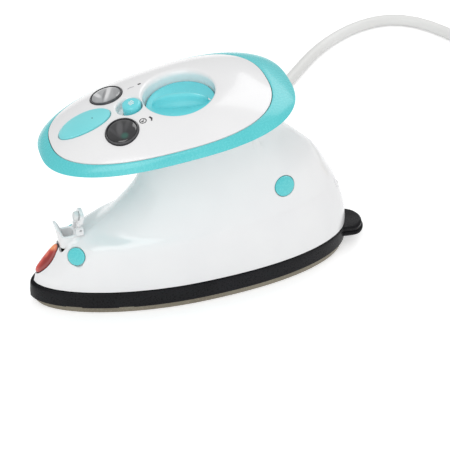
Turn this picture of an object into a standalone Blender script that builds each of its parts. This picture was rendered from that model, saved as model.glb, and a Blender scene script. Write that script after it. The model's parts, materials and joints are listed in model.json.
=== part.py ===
# Mini steam iron, built piece by piece.
# Metres, +Z up, nose towards -X, soleplate underside on z = 0, symmetric about the XZ plane.
# Distances called "from the nose" run rearwards from the front tip of the heat skirt.

import math

import bmesh
import bpy
from mathutils import Matrix, Vector

for old_object in list(bpy.data.objects):
    bpy.data.objects.remove(old_object)

mm = 0.001
gap = 0.3 * mm                      # clearance between pieces that touch
overrun = 4.0 * mm                  # how far a cutter runs past what it cuts
cutter_reach = 12.0 * mm            # length of a cutter that only enters a thin wall

# Sole outline, shared by soleplate, skirt and housing
skirt_length = 134.0 * mm
skirt_width = 46.0 * mm
sole_peak_share = 0.49              # where the sole is widest
sole_front_power_shares = (1.82, 1.70)
sole_rear_power_shares = (2.46, 2.0)

# Heel tab at the back of the skirt
tab_setback = 2.0 * mm
tab_radius = 8.0 * mm
tab_top_radius = 7.3 * mm
tab_groove_radius = 6.9 * mm
tab_height = 4.2 * mm
tab_groove = 0.3 * mm
tab_edge = 0.6 * mm

# Soleplate and its steam holes
soleplate_thickness = 3.0 * mm
soleplate_inset = 1.3 * mm
soleplate_chamfer = 0.7 * mm
steam_hole_radius = 1.1 * mm
steam_hole_rows = 4
steam_hole_first = 21.0 * mm
steam_hole_pitch = 12.0 * mm
steam_hole_inset = 8.5 * mm

# Heat skirt
skirt_height = 7.6 * mm
skirt_wall = 4.6 * mm
skirt_edge = 0.5 * mm
skirt_notch_length = 6.0 * mm
skirt_notch_height = 0.8 * mm
skirt_notch_first = 12.0 * mm
skirt_notch_second = 32.0 * mm

# Heating casting, element and steam chamber
casting_inset = 6.6 * mm
casting_height = 6.0 * mm
casting_end = 14.0 * mm             # casting stops this far before the skirt's rear
chamber_inset = 15.6 * mm
chamber_floor = 2.0 * mm
chamber_front = 34.0 * mm
chamber_rear = 92.0 * mm
chamber_wall = 1.6 * mm
lid_thickness = 1.2 * mm
element_radius = 2.0 * mm
element_inset = 10.4 * mm
terminal_height = 7.0 * mm
terminal_radius = 1.0 * mm
lid_screw_radius = 0.9 * mm
lid_screw_head = 1.8 * mm
lid_screw_length = 3.0 * mm

# Housing, two halves
housing_wall = 2.2 * mm
housing_edge_inset = 0.4 * mm
side_boss_radius = 3.8 * mm
side_bore_radius = 1.8 * mm
side_screw_radius = 1.5 * mm
side_screw_head = 2.7 * mm
side_screw_head_height = 1.6 * mm
side_counterbore = 3.0 * mm
side_screw_sink = 2.6 * mm
front_boss_radius = 3.2 * mm
front_bore_radius = 1.3 * mm
front_screw_radius = 1.0 * mm
front_screw_head = 1.9 * mm
front_screw_head_height = 1.0 * mm
front_counterbore = 2.2 * mm
front_screw_sink = 2.0 * mm
front_boss_length = 2.6 * mm
front_screw_drop = 1.9 * mm
front_cap_radius = 3.6 * mm
rear_cap_radius = 4.2 * mm
front_cap_from_nose = 18.4 * mm
rear_cap_from_nose = 102.4 * mm
front_cap_level_share = 0.279
rear_cap_level_share = 0.54
cap_thickness = 1.0 * mm
cap_crown = 0.35 * mm

# Housing form: level share, front and rear as shares of the skirt's length, half width as a share
# of half the skirt's width. Level 0 is the skirt's top, level 1 the underside of the handle.
housing_front_shares = (
    (0.0, 0.004), (0.083, 0.024), (0.167, 0.051), (0.242, 0.075), (0.31, 0.098), (0.348, 0.12),
    (0.365, 0.15), (0.379, 0.194), (0.405, 0.217), (0.456, 0.247), (0.512, 0.276), (0.584, 0.306),
    (0.65, 0.332), (0.723, 0.352), (0.859, 0.373), (1.0, 0.386))
housing_rear_shares = (
    (0.0, 0.996), (0.075, 1.0), (0.148, 0.994), (0.249, 0.98), (0.35, 0.962), (0.435, 0.942),
    (0.514, 0.921), (0.588, 0.904), (0.644, 0.885), (0.712, 0.861), (0.769, 0.828), (0.84, 0.793),
    (0.92, 0.77), (1.0, 0.757))
housing_width_shares = (
    (0.0, 0.985), (0.15, 0.975), (0.3, 0.94), (0.4, 0.885), (0.5, 0.80), (0.6, 0.715),
    (0.7, 0.645), (0.85, 0.59), (1.0, 0.575))
housing_level_shares = (
    -0.09, 0.08, 0.18, 0.27, 0.335, 0.365, 0.385, 0.42, 0.48, 0.56, 0.65, 0.76, 0.88, 1.08)
neck_peak_share = 0.5
neck_front_power_shares = (2.0, 2.0)
neck_rear_power_shares = (2.3, 2.1)

# Rear fixing recess and its screw
rear_recess_radius = 3.6 * mm
rear_recess_depth = 5.0 * mm
rear_recess_level_share = 0.33
rear_screw_head = 2.8 * mm
rear_screw_head_height = 1.8 * mm
rear_screw_radius = 1.5 * mm
rear_screw_length = 9.0 * mm
rear_boss_radius = 5.4 * mm
rear_boss_length = 11.0 * mm
rear_boss_bore = 1.8 * mm

# Handle: a tray (base) and a domed cover, built level and tilted as one
handle_from_nose = 59.2 * mm
handle_rise = 78.8 * mm
handle_tilt = math.radians(7.5)
handle_length = 100.2 * mm
handle_width = 62.6 * mm
handle_square_share = 2.53
handle_taper_share = 0.11
handle_depth = 9.2 * mm
handle_wall = 1.9 * mm
base_lip_rise = 1.9 * mm
base_floor_inset = 17.0 * mm
base_ledge_depth = 2.2 * mm
base_ledge_width = 1.6 * mm
cover_length = 86.2 * mm
cover_width = 50.6 * mm
cover_forward = 3.3 * mm
cover_crown = 8.6 * mm
cover_wall = 2.2 * mm
passage_inset = 4.6 * mm
handle_boss_radius = 2.9 * mm
handle_boss_length = 11.0 * mm
handle_boss_from_centre = 30.0 * mm
handle_boss_spread = 9.4 * mm
handle_bore_radius = 1.5 * mm
handle_screw_radius = 1.2 * mm
handle_screw_head = 2.6 * mm
handle_screw_head_height = 1.5 * mm
handle_screw_length = 8.0 * mm

# Temperature dial, sunk in a round well in the cover
dial_forward = -6.7 * mm            # negative: behind the handle's centre
dial_radius = 13.5 * mm
dial_thickness = 2.6 * mm
dial_face = 4.2 * mm
dial_well_clearance = 0.3 * mm
dial_dish = 0.7 * mm
dial_edge = 0.5 * mm
grip_length = 23.0 * mm
grip_height = 4.6 * mm
grip_root = 5.6 * mm
grip_crest = 2.8 * mm
well_wall = 1.2 * mm
well_floor = 1.5 * mm
spindle_radius = 2.2 * mm
spindle_bore_clearance = 0.4 * mm
thermostat_radius = 7.0 * mm
thermostat_height = 6.0 * mm
thermostat_socket_radius = 3.4 * mm
thermostat_socket_height = 4.0 * mm
thermostat_socket_depth = 3.0 * mm
bracket_length = 16.0 * mm
bracket_width = 12.0 * mm

# Steam button with its well, pump and spring
button_forward = 11.9 * mm
button_radius = 3.6 * mm
button_top = 10.7 * mm
button_skirt = 4.6 * mm
button_edge = 0.6 * mm
button_travel = 2.0 * mm
button_well_shift = 1.0 * mm
button_well_radius = 4.9 * mm
button_well_floor = 6.4 * mm
button_bore_clearance = 0.25 * mm
pump_radius = 3.2 * mm
pump_wall = 0.9 * mm
pump_height = 9.8 * mm
piston_radius = 1.3 * mm
piston_head_radius = 2.0 * mm
piston_head_height = 1.2 * mm
spring_wire = 0.3 * mm
spring_turns = 4
hose_radius = 1.5 * mm

# Thumb rest inlaid in the cover
rest_forward = 30.8 * mm
rest_length = 21.6 * mm
rest_width = 13.2 * mm
rest_depth = 1.1 * mm
rest_proud = 0.15 * mm

# Indicator windows
window_forward = 19.1 * mm
window_spread = 12.3 * mm
window_radius = 6.7 * mm
window_rim = 0.8 * mm
window_rim_proud = 0.35 * mm
window_rim_depth = 3.2 * mm
window_lens_crown = 0.5 * mm
window_lens_thickness = 1.2 * mm
led_radius = 1.5 * mm
led_length = 3.0 * mm
board_length = 9.0 * mm
board_width = 33.0 * mm
board_thickness = 1.2 * mm

# Nose lens
lens_length = 15.6 * mm
lens_width = 5.6 * mm
lens_rim = 0.6 * mm
lens_proud = 0.5 * mm
lens_rim_depth = 1.7 * mm
lens_crown = 0.9 * mm
lens_from_nose = 8.0 * mm
lens_level_share = 0.193
lamp_radius = 1.6 * mm
lamp_length = 7.0 * mm
lamp_sink = 4.0 * mm

# Filler: spout through the nose, hinged lid standing open, seal plug on the lid
filler_from_nose = 17.0 * mm
spout_length = 7.4 * mm
spout_width = 7.4 * mm
spout_wall = 1.1 * mm
spout_top = 32.4 * mm
spout_bottom = 27.0 * mm
spout_floor = 1.0 * mm
spout_lip_rise = 6.2 * mm
spout_lip_flare = 1.5 * mm
spout_lip_share = 0.68              # how far forward of the middle the raised lip begins
outlet_radius = 1.5 * mm
outlet_bore = 0.9 * mm
outlet_from_nose = 21.4 * mm
outlet_bottom = 20.9 * mm
ear_length = 0.8 * mm
ear_thickness = 1.2 * mm
ear_rise = 0.9 * mm
lid_reach = 7.5 * mm                # from the hinge line to the lid's free end
lid_width = 6.6 * mm
lid_plate = 1.4 * mm
lid_corner = 1.4 * mm
lid_web = 2.4 * mm
lid_knuckle_radius = 1.1 * mm
lid_knuckle_width = 3.2 * mm
lid_pin_radius = 0.5 * mm
lid_pin_clearance = 0.1 * mm
lid_open_lean = math.radians(12)
plug_seal_radius = 2.0 * mm
plug_seal_height = 1.6 * mm
plug_seal_taper = 0.3 * mm

# Water tank and drip valve
tank_front = 14.5 * mm
tank_rear = 54.5 * mm
tank_width = 25.0 * mm
tank_wall = 1.2 * mm
tank_top_width = 13.0 * mm
tank_rise = 9.0 * mm
tank_mouth = 2.0 * mm
tank_neck_rise = 1.6 * mm
valve_radius = 2.6 * mm
valve_height = 5.0 * mm
valve_from_nose = 59.5 * mm

# Rear electrics
block_length = 9.0 * mm
block_width = 18.0 * mm
block_height = 8.0 * mm
block_from_rear = 19.8 * mm
block_groove = 1.2 * mm
fuse_radius = 1.7 * mm
fuse_length = 9.0 * mm
fuse_lead_radius = 0.6 * mm
fuse_lead_length = 3.0 * mm
fuse_from_nose = 100.0 * mm

# Cord and its strain relief
cord_diameter = 5.5 * mm
gland_length = 26.0 * mm
gland_root_radius = 5.0 * mm
gland_tip_radius = 3.5 * mm
gland_rib = 0.5 * mm
gland_ribs = 4
gland_inner_radius = 4.0 * mm
gland_inner_length = 9.0 * mm
gland_neck_length = 7.6 * mm
clamp_length = 4.0 * mm
clamp_wall = 1.0 * mm

# Cord route on the part's own frame, from the strain relief to the coil
cord_route = [
    (29.6 * mm, 40.5 * mm, 54.0 * mm),
    (30.1 * mm, 46.2 * mm, 53.6 * mm),
    (31.8 * mm, 55.4 * mm, 49.6 * mm),
    (35.6 * mm, 64.6 * mm, 39.6 * mm),
    (40.4 * mm, 72.6 * mm, 26.4 * mm),
    (45.2 * mm, 81.5 * mm, 14.0 * mm),
    (51.4 * mm, 89.3 * mm, 6.2 * mm),
    (59.0 * mm, 95.8 * mm, 3.2 * mm),
    (67.6 * mm, 102.2 * mm, 2.9 * mm),
    (80.8 * mm, 114.6 * mm, 2.9 * mm),
    (98.8 * mm, 131.6 * mm, 2.9 * mm),
    (115.1 * mm, 142.2 * mm, 2.9 * mm),
    (130.4 * mm, 147.6 * mm, 2.9 * mm),
    (143.2 * mm, 147.8 * mm, 2.9 * mm),
    (153.4 * mm, 143.2 * mm, 2.9 * mm),
    (161.0 * mm, 135.6 * mm, 2.9 * mm),
    (167.0 * mm, 126.2 * mm, 2.9 * mm),
    (172.2 * mm, 115.4 * mm, 3.3 * mm),
    (177.2 * mm, 103.4 * mm, 3.9 * mm),
    (179.5 * mm, 97.7 * mm, 3.9 * mm),
]
cord_points = 34
coil_turns = 7
coil_points_per_turn = 24
coil_inner_radius = 22.6 * mm
coil_pitch = 6.1 * mm
coil_layer_rise = 6.1 * mm
lead_out = 16.0 * mm
tie_thickness = 0.8 * mm
tie_width = 6.0 * mm
plug_length = 27.0 * mm
plug_width = 24.0 * mm
plug_height = 17.0 * mm
plug_nose_width = 20.0 * mm
plug_tail_length = 14.0 * mm
plug_tail_radius = 4.2 * mm
blade_length = 17.0 * mm
blade_width = 6.3 * mm
blade_thickness = 1.5 * mm
blade_spacing = 12.7 * mm
blade_root = 2.0 * mm

# Levels and places that follow from the sizes
overall_length = skirt_length - tab_setback + tab_radius
nose_x = -overall_length / 2
skirt_bottom = soleplate_thickness + gap
skirt_top = skirt_bottom + skirt_height
housing_bottom = skirt_top + gap
casting_bottom = soleplate_thickness + gap
casting_top = casting_bottom + casting_height
lid_top = casting_top + gap + lid_thickness
handle_x = nose_x + handle_from_nose
handle_place = (Matrix.Translation((handle_x, 0, handle_rise))
                @ Matrix.Rotation(-handle_tilt, 4, "Y"))
cord_radius = cord_diameter / 2
outline_points = 40                 # points round the sole, the housing and the handle

FINISHES = {
    "champagne": ((0.78, 0.72, 0.62), 0.32, 0.85),
    "black_plastic": ((0.018, 0.019, 0.022), 0.42, 0.0),
    "white_plastic": ((0.86, 0.87, 0.88), 0.22, 0.0),
    "teal_plastic": ((0.13, 0.66, 0.68), 0.28, 0.0),
    "teal_rubber": ((0.10, 0.58, 0.60), 0.55, 0.0),
    "red_lens": ((0.62, 0.06, 0.04), 0.12, 0.0),
    "smoked_lens": ((0.05, 0.05, 0.06), 0.08, 0.0),
    "dark_rim": ((0.07, 0.07, 0.08), 0.3, 0.0),
    "clear_plastic": ((0.82, 0.88, 0.90), 0.12, 0.0),
    "aluminium": ((0.74, 0.74, 0.75), 0.4, 1.0),
    "steel": ((0.62, 0.62, 0.63), 0.3, 1.0),
    "brass": ((0.72, 0.56, 0.26), 0.3, 1.0),
    "ceramic": ((0.82, 0.80, 0.74), 0.6, 0.0),
    "board_green": ((0.05, 0.28, 0.12), 0.5, 0.0),
    "led_green": ((0.12, 0.62, 0.32), 0.2, 0.0),
    "led_amber": ((0.80, 0.42, 0.08), 0.2, 0.0),
    "grey_rubber": ((0.55, 0.56, 0.57), 0.6, 0.0),
    "cord_white": ((0.80, 0.80, 0.79), 0.45, 0.0),
}


# Materials and mesh helpers

def finish(name):
    """Principled material of that name, made once."""
    if name in bpy.data.materials:
        return bpy.data.materials[name]
    colour, roughness, metallic = FINISHES[name]
    material = bpy.data.materials.new(name)
    material.use_nodes = True
    shader = material.node_tree.nodes["Principled BSDF"]
    shader.inputs["Base Color"].default_value = (*colour, 1.0)
    shader.inputs["Roughness"].default_value = roughness
    shader.inputs["Metallic"].default_value = metallic
    material.diffuse_color = (*colour, 1.0)
    return material


def add_object(name, data, finish_name=None, parent=None, place=None):
    """Link data as an object, in its parent's frame."""
    thing = bpy.data.objects.new(name, data)
    bpy.context.scene.collection.objects.link(thing)
    if finish_name:
        data.materials.append(finish(finish_name))
    if parent:
        thing.parent = parent
    if place is not None:
        thing.matrix_local = place
    return thing


def add_guide(name, data, parent=None, place=None):
    """A cutter or construction solid that is not a piece."""
    guide = add_object(name, data, None, parent, place)
    guide.hide_render = True
    guide.display_type = "WIRE"
    return guide


def finish_mesh(name, mesh, smooth_angle=35):
    """Write a bmesh out with its faces turned outwards and its round faces smooth."""
    bmesh.ops.remove_doubles(mesh, verts=mesh.verts, dist=gap / 100)
    bmesh.ops.recalc_face_normals(mesh, faces=mesh.faces)
    data = bpy.data.meshes.new(name)
    mesh.to_mesh(data)
    mesh.free()
    data.shade_smooth()
    data.set_sharp_from_angle(angle=math.radians(smooth_angle))
    return data


def loft(name, rings, close_ends=True, smooth_angle=35):
    """Skin a stack of rings that all have the same number of points."""
    mesh = bmesh.new()
    rows = [[mesh.verts.new(point) for point in ring] for ring in rings]
    count = len(rows[0])
    for lower, upper in zip(rows, rows[1:]):
        for i in range(count):
            j = (i + 1) % count
            mesh.faces.new((lower[i], lower[j], upper[j], upper[i]))
    if close_ends:
        mesh.faces.new(list(reversed(rows[0])))
        mesh.faces.new(rows[-1])
    bmesh.ops.triangulate(mesh, faces=mesh.faces)
    return finish_mesh(name, mesh, smooth_angle)


def lathe(name, profile, segments=32, smooth_angle=35):
    """Turn a profile of (radius, height) points about Z. Ends on the axis are closed."""
    mesh = bmesh.new()
    rows = []
    for radius, height in profile:
        if radius <= 0:
            rows.append([mesh.verts.new((0, 0, height))])
            continue
        rows.append([mesh.verts.new((radius * math.cos(math.tau * (i + 0.5) / segments),
                                     radius * math.sin(math.tau * (i + 0.5) / segments), height))
                     for i in range(segments)])
    for lower, upper in zip(rows, rows[1:]):
        for i in range(segments):
            j = (i + 1) % segments
            corners = [lower[i % len(lower)], lower[j % len(lower)],
                       upper[j % len(upper)], upper[i % len(upper)]]
            mesh.faces.new(list(dict.fromkeys(corners)))
    if len(rows[0]) > 1 and len(rows[-1]) > 1:
        if profile[0] == profile[-1]:
            pass
        else:
            mesh.faces.new(list(reversed(rows[0])))
            mesh.faces.new(rows[-1])
    elif len(rows[0]) > 1:
        mesh.faces.new(list(reversed(rows[0])))
    elif len(rows[-1]) > 1:
        mesh.faces.new(rows[-1])
    return finish_mesh(name, mesh, smooth_angle)


def rounded_box(name, size, corner=0, steps=3):
    """A box centred on the origin, with its upright edges rounded."""
    x, y, z = (side / 2 for side in size)
    corner = min(corner, x, y)
    outline = []
    for quadrant, (sx, sy) in enumerate(((1, 1), (-1, 1), (-1, -1), (1, -1))):
        for i in range(steps + 1 if corner > 0 else 1):
            angle = math.pi / 2 * (quadrant + (i / steps if corner > 0 else 0))
            outline.append(Vector((sx * (x - corner) + corner * math.cos(angle),
                                   sy * (y - corner) + corner * math.sin(angle), 0)))
    rings = [[point + Vector((0, 0, level)) for point in outline] for level in (-z, z)]
    return loft(name, rings)


def bar_between(name, start, end, radius, segments=16):
    """A round bar from one point to another, as mesh data in place."""
    data = lathe(name, [(radius, 0), (radius, (end - start).length)], segments)
    turn = (end - start).to_track_quat("Z", "Y").to_matrix().to_4x4()
    data.transform(Matrix.Translation(start) @ turn)
    return data


def add_boolean(thing, other, operation):
    """Boolean modifier with the exact solver."""
    modifier = thing.modifiers.new(operation.title() + "_" + other.name, "BOOLEAN")
    modifier.operation = operation
    modifier.object = other
    modifier.solver = "EXACT"
    return modifier


def evaluated_mesh(thing):
    """The object's mesh with its modifiers, in its own frame, without needle-thin faces."""
    depsgraph = bpy.context.evaluated_depsgraph_get()
    depsgraph.update()
    data = bpy.data.meshes.new_from_object(thing.evaluated_get(depsgraph))
    mesh = bmesh.new()
    mesh.from_mesh(data)
    bmesh.ops.remove_doubles(mesh, verts=mesh.verts, dist=gap / 100)
    bmesh.ops.dissolve_degenerate(mesh, edges=mesh.edges, dist=gap / 100)
    mesh.to_mesh(data)
    mesh.free()
    return data


def smooth_value(table, key):
    """Value at a key of a table, along a curve that never overshoots its points."""
    if key <= table[0][0]:
        return table[0][1]
    if key >= table[-1][0]:
        return table[-1][1]
    index = max(i for i in range(len(table) - 1) if table[i][0] <= key)

    def chord(i):
        return (table[i + 1][1] - table[i][1]) / (table[i + 1][0] - table[i][0])

    def slope(i):
        if i == 0:
            return chord(0)
        if i == len(table) - 1:
            return chord(i - 1)
        before, after = chord(i - 1), chord(i)
        return 0 if before * after <= 0 else 2 * before * after / (before + after)

    (k0, v0), (k1, v1) = table[index], table[index + 1]
    width = k1 - k0
    t = (key - k0) / width
    return ((2 * t ** 3 - 3 * t ** 2 + 1) * v0 + (t ** 3 - 2 * t ** 2 + t) * width * slope(index)
            + (3 * t ** 2 - 2 * t ** 3) * v1 + (t ** 3 - t ** 2) * width * slope(index + 1))


def spline_points(points, count, before=None, after=None):
    """Points at even steps along a smooth curve, led in and out by the points on either side."""
    points = [Vector(point) for point in points]
    lead_in = Vector(before) if before else 2 * points[0] - points[1]
    lead_off = Vector(after) if after else 2 * points[-1] - points[-2]
    ends = [lead_in] + points + [lead_off]
    fine = []
    steps = 24
    for a, b, c, d in zip(ends, ends[1:], ends[2:], ends[3:]):
        for i in range(steps):
            t = i / steps
            fine.append(0.5 * (2 * b + (c - a) * t + (2 * a - 5 * b + 4 * c - d) * t ** 2
                               + (3 * b - a - 3 * c + d) * t ** 3))
    fine.append(points[-1])
    lengths = [0]
    for a, b in zip(fine, fine[1:]):
        lengths.append(lengths[-1] + (b - a).length)
    result = []
    k = 0
    for i in range(count):
        target = lengths[-1] * i / (count - 1)
        while k < len(fine) - 2 and lengths[k + 1] < target:
            k += 1
        share = (target - lengths[k]) / (lengths[k + 1] - lengths[k])
        result.append(fine[k].lerp(fine[k + 1], min(share, 1)))
    return result


def tube(name, points, radius, resolution, finish_name, parent=None):
    """A round tube along points, with closed ends."""
    data = bpy.data.curves.new(name, "CURVE")
    data.dimensions = "3D"
    data.bevel_depth = radius
    data.bevel_resolution = resolution
    data.use_fill_caps = True
    spline = data.splines.new("POLY")
    spline.points.add(len(points) - 1)
    for spot, point in zip(spline.points, points):
        spot.co = (*point, 1)
    return add_object(name, data, finish_name, parent)


def swept_tube(name, points, radius, segments=10):
    """Mesh data of a round tube along points, its rings carried along without twist."""
    points = [Vector(point) for point in points]
    rings = []
    across = None
    for i, point in enumerate(points):
        before, after = points[max(i - 1, 0)], points[min(i + 1, len(points) - 1)]
        along = (after - before).normalized()
        if across is None:
            across = along.orthogonal().normalized()
        across = (across - across.dot(along) * along).normalized()
        third = along.cross(across)
        rings.append([point + radius * (across * math.cos(math.tau * k / segments)
                                        + third * math.sin(math.tau * k / segments))
                      for k in range(segments)])
    return loft(name, rings)


# Outlines

def share_of_width(t, peak, front_powers, rear_powers):
    """Half width along an outline, as a share of its widest, t from 0 at the front to 1."""
    t = min(max(t, 0), 1)
    if t < peak:
        return (1 - (1 - t / peak) ** front_powers[0]) ** (1 / front_powers[1])
    return max(1 - ((t - peak) / (1 - peak)) ** rear_powers[0], 0) ** (1 / rear_powers[1])


def boat_outline(front, rear, half_width, height, peak, front_powers, rear_powers, count=outline_points):
    """Closed outline, pointed at the front and blunt at the rear."""
    half = count // 2
    points = []
    for i in range(count):
        turn = math.pi * i / half
        t = (1 - math.cos(turn)) / 2
        side = -1 if i < half else 1
        y = half_width * share_of_width(t, peak, front_powers, rear_powers)
        points.append(Vector((front + (rear - front) * t, side * y, height)))
    return points


def sole_outline(inset, height, end_inset=None, count=outline_points):
    """The sole's outline, drawn in by an inset, with its own inset at the rear if given."""
    rear_inset = inset if end_inset is None else end_inset
    return boat_outline(nose_x + inset * 1.6, nose_x + skirt_length - rear_inset,
                        skirt_width / 2 - inset, height, sole_peak_share,
                        sole_front_power_shares, sole_rear_power_shares, count)


def handle_plane(x, depth):
    """World height of a plane parallel to the handle, that far under its centre."""
    return handle_rise + (x - handle_x) * math.tan(handle_tilt) - depth / math.cos(handle_tilt)


def housing_z(x, level):
    """World height of a housing level over one place."""
    top = handle_plane(x, handle_depth + gap)
    return housing_bottom + level * (top - housing_bottom)


def housing_shape(level):
    """Front, rear, half width and outline powers of the housing at a level."""
    front = nose_x + skirt_length * smooth_value(housing_front_shares, level)
    rear = nose_x + skirt_length * smooth_value(housing_rear_shares, level)
    half_width = (skirt_width / 2 - housing_edge_inset) * smooth_value(housing_width_shares, level)
    blend = min(max((level - 0.2) / 0.5, 0), 1)
    blend = blend * blend * (3 - 2 * blend)

    def mix(a, b):
        return a + (b - a) * blend

    front_powers = [mix(a, b) for a, b in zip(sole_front_power_shares, neck_front_power_shares)]
    rear_powers = [mix(a, b) for a, b in zip(sole_rear_power_shares, neck_rear_power_shares)]
    return front, rear, half_width, mix(sole_peak_share, neck_peak_share), front_powers, rear_powers


def housing_point(x, level, side):
    """Point of the housing's outer surface at a world x and a level, on one side."""
    front, rear, half_width, peak, front_powers, rear_powers = housing_shape(level)
    t = (x - front) / (rear - front)
    y = half_width * share_of_width(t, peak, front_powers, rear_powers)
    return Vector((x, side * y, housing_z(x, level)))


def housing_normal(x, level, side):
    """Outward normal of the housing there."""
    step = 0.01
    along = housing_point(x + gap, level, side) - housing_point(x - gap, level, side)
    upward = housing_point(x, level + step, side) - housing_point(x, level - step, side)
    normal = along.cross(upward).normalized()
    return normal if normal.y * side > 0 else -normal


def ridge_point(x, low=0.0, high=0.6):
    """Point on the centre line of the nose at a world x."""
    for _ in range(40):
        middle = (low + high) / 2
        if housing_shape(middle)[0] < x:
            low = middle
        else:
            high = middle
    return Vector((x, 0, housing_z(x, low)))


def frame_at(point, normal, along):
    """Frame with its Z on a normal and its X near a direction."""
    z = normal.normalized()
    x = (along - along.dot(z) * z).normalized()
    y = z.cross(x)
    return Matrix(((x.x, y.x, z.x, point.x), (x.y, y.y, z.y, point.y),
                   (x.z, y.z, z.z, point.z), (0, 0, 0, 1)))


# Soleplate, skirt and heating

def make_soleplate():
    rings = [sole_outline(soleplate_inset + soleplate_chamfer, 0),
             sole_outline(soleplate_inset + soleplate_chamfer / 3, soleplate_chamfer / 3),
             sole_outline(soleplate_inset, soleplate_chamfer),
             sole_outline(soleplate_inset, soleplate_thickness)]
    plate = add_object("soleplate", loft("soleplate", rings), "champagne")
    cutter = bmesh.new()
    for row in range(steam_hole_rows):
        x = nose_x + steam_hole_first + row * steam_hole_pitch
        share = share_of_width((x - nose_x) / skirt_length, sole_peak_share,
                               sole_front_power_shares, sole_rear_power_shares)
        reach = skirt_width / 2 * share - steam_hole_inset
        for y in ((-reach, reach) if reach > steam_hole_radius * 2 else (0,)):
            place = Matrix.Translation((x, y, soleplate_thickness / 2))
            bmesh.ops.create_cone(cutter, cap_ends=True, segments=12, radius1=steam_hole_radius,
                                  radius2=steam_hole_radius,
                                  depth=soleplate_thickness + 2 * overrun, matrix=place)
    add_boolean(plate, add_guide("steam_hole_cutter", finish_mesh("steam_hole_cutter", cutter)),
                "DIFFERENCE")


def make_skirt():
    low, high = skirt_bottom, skirt_top
    rings = [sole_outline(skirt_wall, low), sole_outline(skirt_edge, low),
             sole_outline(0, low + skirt_edge), sole_outline(0, high - skirt_edge * 2),
             sole_outline(skirt_edge * 0.4, high - skirt_edge * 0.6), sole_outline(skirt_edge, high),
             sole_outline(skirt_wall, high)]
    rings.append(rings[0])
    skirt = add_object("heat_skirt", loft("heat_skirt", rings, close_ends=False), "black_plastic")
    base = high - skirt_edge - tab_height
    mid = base + tab_height * 0.42
    top = base + tab_height
    profile = [(0, base), (tab_radius - tab_edge, base), (tab_radius, base + tab_edge),
               (tab_radius, mid - tab_edge), (tab_top_radius, mid), (tab_groove_radius, mid),
               (tab_groove_radius, mid + tab_groove), (tab_top_radius, mid + 2 * tab_groove),
               (tab_top_radius, top - tab_edge), (tab_top_radius - tab_edge, top), (0, top)]
    centre = nose_x + skirt_length - tab_setback
    tab = add_guide("heel_tab_form", lathe("heel_tab_form", profile, 24),
                    place=Matrix.Translation((centre, 0, 0)))
    add_boolean(skirt, tab, "UNION")
    notches = bmesh.new()
    for start in (skirt_notch_first, skirt_notch_second):
        place = Matrix.Translation((nose_x + start + skirt_notch_length / 2, 0, low))
        size = Matrix.Diagonal((skirt_notch_length, skirt_width + overrun,
                                2 * skirt_notch_height, 1))
        bmesh.ops.create_cube(notches, size=1, matrix=place @ size)
    add_boolean(skirt, add_guide("skirt_notch_cutter", finish_mesh("skirt_notch_cutter", notches)),
                "DIFFERENCE")


def element_path():
    """U-shaped line of the heating element, open at the rear, with its ends turned up."""
    level = lid_top - element_radius
    outline = boat_outline(nose_x + element_inset * 2.2, nose_x + skirt_length - casting_end,
                           skirt_width / 2 - element_inset, level, neck_peak_share,
                           neck_front_power_shares, neck_rear_power_shares, 30)
    reach = outline[0].x + (outline[len(outline) // 2].x - outline[0].x) * 0.86
    near = [p for p in outline[:len(outline) // 2] if p.x < reach][1:]
    far = [Vector((p.x, -p.y, p.z)) for p in near]
    path = list(reversed(near)) + [outline[0]] + far
    bend = element_radius * 1.5
    rise = Vector((0, 0, terminal_height))

    def turned_up(end, before):
        forward = (end - before).normalized()
        corner = [end + forward * bend * math.sin(a) + Vector((0, 0, bend * (1 - math.cos(a))))
                  for a in (math.pi / 6, math.pi / 3, math.pi / 2)]
        return corner + [corner[-1] + rise / 2]

    return list(reversed(turned_up(path[0], path[1]))) + path + turned_up(path[-1], path[-2])


def make_heating():
    end = casting_end - casting_inset
    low, high = casting_bottom, casting_top
    rings = [sole_outline(casting_inset, level, casting_end) for level in (low, high)]
    casting = add_object("heating_casting", loft("heating_casting", rings), "aluminium")
    path = element_path()
    groove = swept_tube("element_groove_cutter", path, element_radius + gap)
    add_boolean(casting, add_guide("element_groove_cutter", groove), "DIFFERENCE")
    chamber = [boat_outline(nose_x + chamber_front, nose_x + chamber_rear,
                            skirt_width / 2 - chamber_inset, level, neck_peak_share,
                            neck_front_power_shares, neck_rear_power_shares, 24)
               for level in (low + chamber_floor, high + overrun)]
    cutter = add_guide("chamber_cutter", loft("chamber_cutter", chamber))
    add_boolean(casting, cutter, "DIFFERENCE")
    add_object("heating_element", swept_tube("heating_element", path, element_radius), "steel")

    lid = [boat_outline(nose_x + chamber_front - chamber_wall, nose_x + chamber_rear + chamber_wall,
                        skirt_width / 2 - chamber_inset + chamber_wall, level, neck_peak_share,
                        neck_front_power_shares, neck_rear_power_shares, 32)
           for level in (high + gap, lid_top)]
    add_object("chamber_lid", loft("chamber_lid", lid), "steel")


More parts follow.
